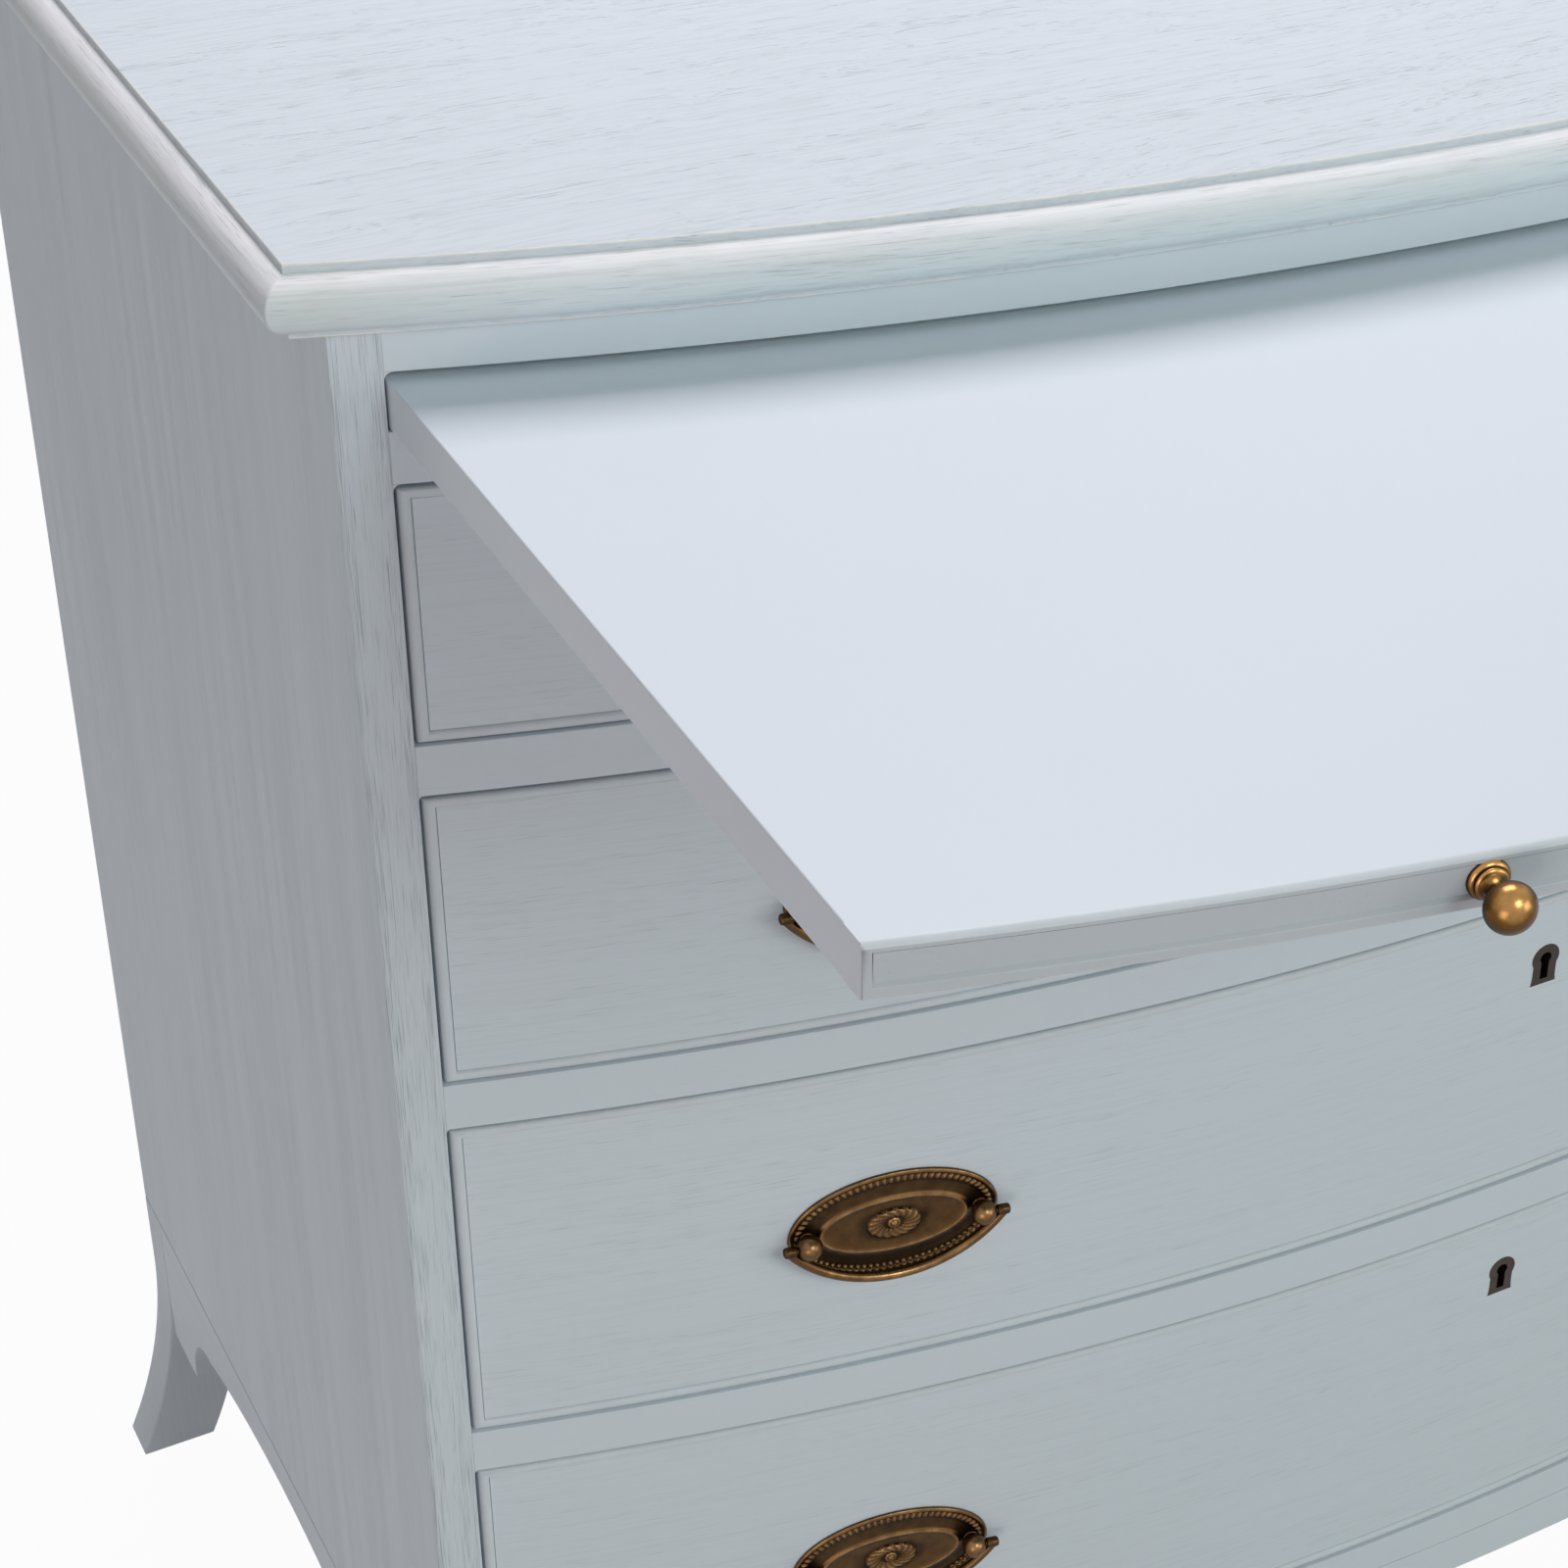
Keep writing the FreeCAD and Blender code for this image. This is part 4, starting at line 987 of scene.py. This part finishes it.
def bail(name, sign, z):
    """Bail that hangs along the plate's lower edge, thinner towards its ears."""
    bm = new_mesh()
    crest = bm.verts.layers.float["crest"]
    reach = (BAIL_SPAN ** 2 + BAIL_DROP ** 2) / (2 * BAIL_DROP)
    centre = Vector((0, -POST_OUT, reach - BAIL_DROP))
    half_sweep = asin(BAIL_SPAN / reach)
    bmesh.ops.create_circle(bm, cap_ends=False, radius=BAIL_ROD, segments=20)
    rotate(bm, pi / 2, "Y")
    move(bm, (0, -POST_OUT, -BAIL_DROP))
    rotate(bm, half_sweep, "Y", centre)
    bmesh.ops.spin(bm, geom=bm.verts[:] + bm.edges[:], cent=centre, axis=(0, 1, 0), angle=-2 * half_sweep,
                   steps=56, use_duplicate=False)
    close_holes(bm)
    for vert in bm.verts:
        spoke = vert.co - centre
        spoke.y = 0
        share = asin(max(-1, min(1, spoke.x / spoke.length))) / half_sweep
        middle = centre + spoke.normalized() * reach
        vert.co = middle + (vert.co - middle) * (1.04 - 0.1 * abs(share) ** 3)
        vert[crest] = 0.7 - 0.25 * abs(share)
    ear = ((0, 0, 0.1), (1.8, 0, 0.15), (2.2, 0.45, 0.2), (2.25, 4.2, 0.25), (2.0, 5.0, 0.3),
           (1.2, EAR_END - EAR_START, 0.3), (0, EAR_END - EAR_START, 0.3))
    pin = ((0, -7.4, 0.2), (1.4, -7.4, 0.2), (1.4, 0.2, 0.2), (0, 0.2, 0.2))
    for ear_sign in SIDES.values():
        for profile, steps in ((ear, 24), (pin, 16)):
            part = new_mesh()
            turned(part, profile, steps)
            rotate(part, ear_sign * pi / 2, "Z")
            move(part, (ear_sign * EAR_START, -POST_OUT, 0))
            join(bm, part)
    mount(bm, sign, FACE, z)
    piece(bm, name, "cast", name, [BRASS], slot="old_brass", sharp=60)


# ---- Drawers ----

def drawer_front(body, low, high, key_z):
    """The front's board, with a dark pocket behind the keyhole."""
    bm = new_mesh()
    half = DRAWER_HALF - BEAD - QUIRK
    block(bm, (-half, FACE, low + BEAD + QUIRK), (half, FRONT_BACK, high - BEAD - QUIRK))
    key_low, key_high = key_z - 19.0, key_z - 3.2
    for side in (-POCKET_HALF, POCKET_HALF):
        cut(bm, everything(bm), (side, 0, 0), (1, 0, 0))
    for z in (key_low, key_high):
        cut(bm, everything(bm), (0, 0, z), (0, 0, 1))

    def in_pocket(face, margin=0.0):
        middle = face.calc_center_median()
        return abs(middle.x) < POCKET_HALF + margin and key_low - margin < middle.z < key_high + margin

    push(bm, [face for face in bm.faces if face.normal.y < -0.9 and in_pocket(face)], (0, POCKET_DEPTH, 0))
    for face in bm.faces:
        deep = FACE + 1 < face.calc_center_median().y < FRONT_BACK - 1
        face.material_index = 1 if deep and in_pocket(face, NEAR) else 0
    bend(bm)
    piece(bm, body + "_front", "painted", body, [FRONT_PAINT, KEYHOLE])


def cock_beads(body, low, high):
    """A frame of half round strips let into the front's edges, a little proud of its face."""
    bm = new_mesh()
    corners = ((-DRAWER_HALF, low), (DRAWER_HALF, low), (DRAWER_HALF, high), (-DRAWER_HALF, high))
    whole = bm.faces.new([bm.verts.new((x, FRONT_BACK, z)) for x, z in corners])
    whole.normal_update()
    rim = bmesh.ops.inset_region(bm, faces=[whole], thickness=BEAD, use_even_offset=True,
                                 use_boundary=True)["faces"]
    bmesh.ops.delete(bm, geom=[whole], context="FACES_ONLY")
    lift(bm, rim, (0, BEAD_CREST - FRONT_BACK, 0))
    ease(bm, pick(bm, None, lambda at: at.y < BEAD_CREST + NEAR), 2.0, 6)
    bend(bm)
    piece(bm, body + "_cock_beads", "painted", body, [BEAD_PAINT])


def round_headed(bm, radius, half, centre_z, steps, foot):
    """A closed outline: a round head over a neck of half width, then the foot's points from the right."""
    tuck = acos(half / radius)
    arc(bm, (half, FRONT_BACK, centre_z - radius * sin(tuck)), (0, FRONT_BACK, centre_z), -(pi + 2 * tuck),
        steps)
    left, right = sorted(loose_ends(bm), key=lambda vert: vert.co.x)
    chain = [right, *(bm.verts.new((x, FRONT_BACK, z)) for x, z in foot), left]
    for pair in zip(chain, chain[1:]):
        bm.edges.new(pair)


def escutcheon(body, key_z):
    """Keyhole plate: a round head on a waist with a wider foot, let in almost flush."""
    bm = new_mesh()
    radius, waist, foot, slot = 7.0, 6.0, 6.5, 2.0
    centre_z, foot_z, slot_z = key_z - radius, key_z - 20.5, key_z - 17.8
    right_side = ((waist, foot_z + 5.0), (waist + 0.12, foot_z + 2.5), (foot, foot_z))
    left_side = tuple((-x, z) for x, z in reversed(right_side))
    round_headed(bm, radius, waist, centre_z, 26, right_side + left_side)
    round_headed(bm, 2.9, slot, centre_z, 18, ((slot, slot_z), (-slot, slot_z)))
    bmesh.ops.triangle_fill(bm, use_beauty=True, edges=bm.edges[:])
    move(bm, (0, FACE + ESCUTCHEON_IN - FRONT_BACK, 0))
    lift(bm, bm.faces[:], (0, -ESCUTCHEON_IN - ESCUTCHEON_OUT, 0))
    crest = bm.verts.layers.float["crest"]
    for vert in bm.verts:
        vert[crest] = 0.5 if vert.co.y < FACE else 0.0
        vert.co.y = bow_line(vert.co.x, vert.co.y)
    piece(bm, body + "_escutcheon", "plate", body, [BRONZE], slot="dark_bronze", sharp=30)


def drawer(body, floor, ceiling):
    low, high = floor + RUN_GAP, ceiling - TOP_GAP
    key_z = ceiling - KEY_DROP
    handle_z = (floor + ceiling) / 2 - HANDLE_DROP
    drawer_front(body, low, high, key_z)
    cock_beads(body, low, high)
    escutcheon(body, key_z)
    handle_plates(body, handle_z)
    for side, sign in SIDES.items():
        bail(body + "_bail_" + side, sign, handle_z)


# ---- The chest ----

top_panel()
top_moulding()
for side, sign in SIDES.items():
    carcass_side(side, sign)
for name, sizes in RAILS.items():
    bowed_rail(name, *sizes)
bottom_board()
for side in SIDES:
    from_frame("foot_front_" + side, 1.0, SIDE_PAINT)
    from_frame("foot_back_" + side, 1.0, SIDE_PAINT)
    from_frame("side_apron_" + side, 0.8, APRON_PAINT)
from_frame("front_apron", 0.8, RAIL_PAINT)
slide_board()
slide_edging()
slide_knobs()

# The boards that keep their shape from the frame.
PLAIN_BOARDS = {"back_panel": OAK_ACROSS, "top_back_rail": OAK_ACROSS, "slide_kickers": OAK_DEEP,
                "slide_runners": OAK_DEEP, "drawer_runners": OAK_DEEP, "drawer_stops": OAK_ACROSS,
                "glue_blocks": OAK_DEEP}
for body, opening in OPENINGS.items():
    drawer(body, *opening)
    PLAIN_BOARDS.update({body + "_box": OAK_AROUND, body + "_bottom": OAK_ACROSS})
for name, finish in PLAIN_BOARDS.items():
    nodes[name].data.materials.clear()
    nodes[name].data.materials.append(finish)


# ---- Floor, light and camera ----

def seen_white(g, shader, share):
    """Mixes a shader with white for what the camera, gloss and glass see."""
    rays = g.add("LightPath").outputs
    gloss_or_glass = g.math("MAXIMUM", rays["Is Glossy Ray"], rays["Is Transmission Ray"])
    direct = g.math("MAXIMUM", rays["Is Camera Ray"], gloss_or_glass)
    sort = "Background" if shader.bl_idname == "ShaderNodeBackground" else "Emission"
    white = g.add(sort, Color=(1, 1, 1, 1), Strength=1.0)
    return g.add("MixShader", _0=g.math("MULTIPLY", direct, share), _1=shader.outputs[0],
                 _2=white.outputs[0])


def studio_floor():
    """A pale floor that keeps the chest's shadow."""
    bm = bmesh.new()
    bmesh.ops.create_grid(bm, x_segments=1, y_segments=1, size=12.0)
    floor = add_object("floor", baked(bm, "floor"))
    material, g, place = start_material("floor_pale")
    grey = g.mix(g.noise(place, 2.0), srgb(196, 196, 196), srgb(202, 202, 202))
    finish_material(g, seen_white(g, g.add("BsdfDiffuse", Color=grey), 0.96))
    floor.data.materials.append(material)


def softbox(name, place, aim, size, power, tint):
    """A square lamp that faces a point of the chest."""
    lamp = bpy.data.lights.new(name, "AREA")
    lamp.shape = "RECTANGLE"
    lamp.size = lamp.size_y = size
    lamp.energy = power
    lamp.color = tint
    thing = add_object(name, lamp)
    thing.location = place
    thing.rotation_euler = (Vector(aim) - Vector(place)).to_track_quat("-Z", "Y").to_euler()


def surround(colour, strength):
    """Even light from all around, seen as white."""
    world = bpy.data.worlds.new("studio")
    g = fresh_graph(world)
    ambient = g.add("Background", Color=colour, Strength=strength)
    g.add("OutputWorld", Surface=seen_white(g, ambient, 1.0).outputs[0])
    scene.world = world


def camera(place, axes, lens, shift):
    """A camera by its right, up and backward axes, as the columns of a matrix."""
    data = bpy.data.cameras.new("camera")
    data.lens = lens
    data.sensor_width = 36.0
    data.shift_x, data.shift_y = shift
    thing = add_object("camera", data)
    thing.matrix_world = Matrix.Translation(place) @ Matrix(axes).to_4x4()
    scene.camera = thing


studio_floor()
surround((0.95, 0.99, 1.0, 1), 0.217)
softbox("overhead", (0.3, 1.0, 3.0), (0, 0, 0.85), size=1.5, power=46.5, tint=(1.0, 0.94, 0.985))
softbox("front_high", (0.3, -4.0, 3.2), (0, 0, 0.5), size=1.6, power=49, tint=(0.87, 1.0, 0.96))
softbox("front_right", (2.8, -3.8, 1.6), (0, 0, 0.5), size=2.0, power=36, tint=(1.0, 1.0, 0.91))
softbox("near_left", (-1.6, -1.5, 0.6), (-0.45, -0.2, 0.5), size=0.8, power=6.2, tint=(0.98, 0.82, 0.82))
camera((-0.7688, -0.9761, 1.3504),
       ((0.86162584, 0.24337238, -0.44538837), (-0.50546009, 0.49090125, -0.7095957),
        (0.04594571, 0.83653204, 0.54598823)), lens=77.9, shift=(-0.2214, -0.0279))
scene.view_settings.view_transform = "Standard"
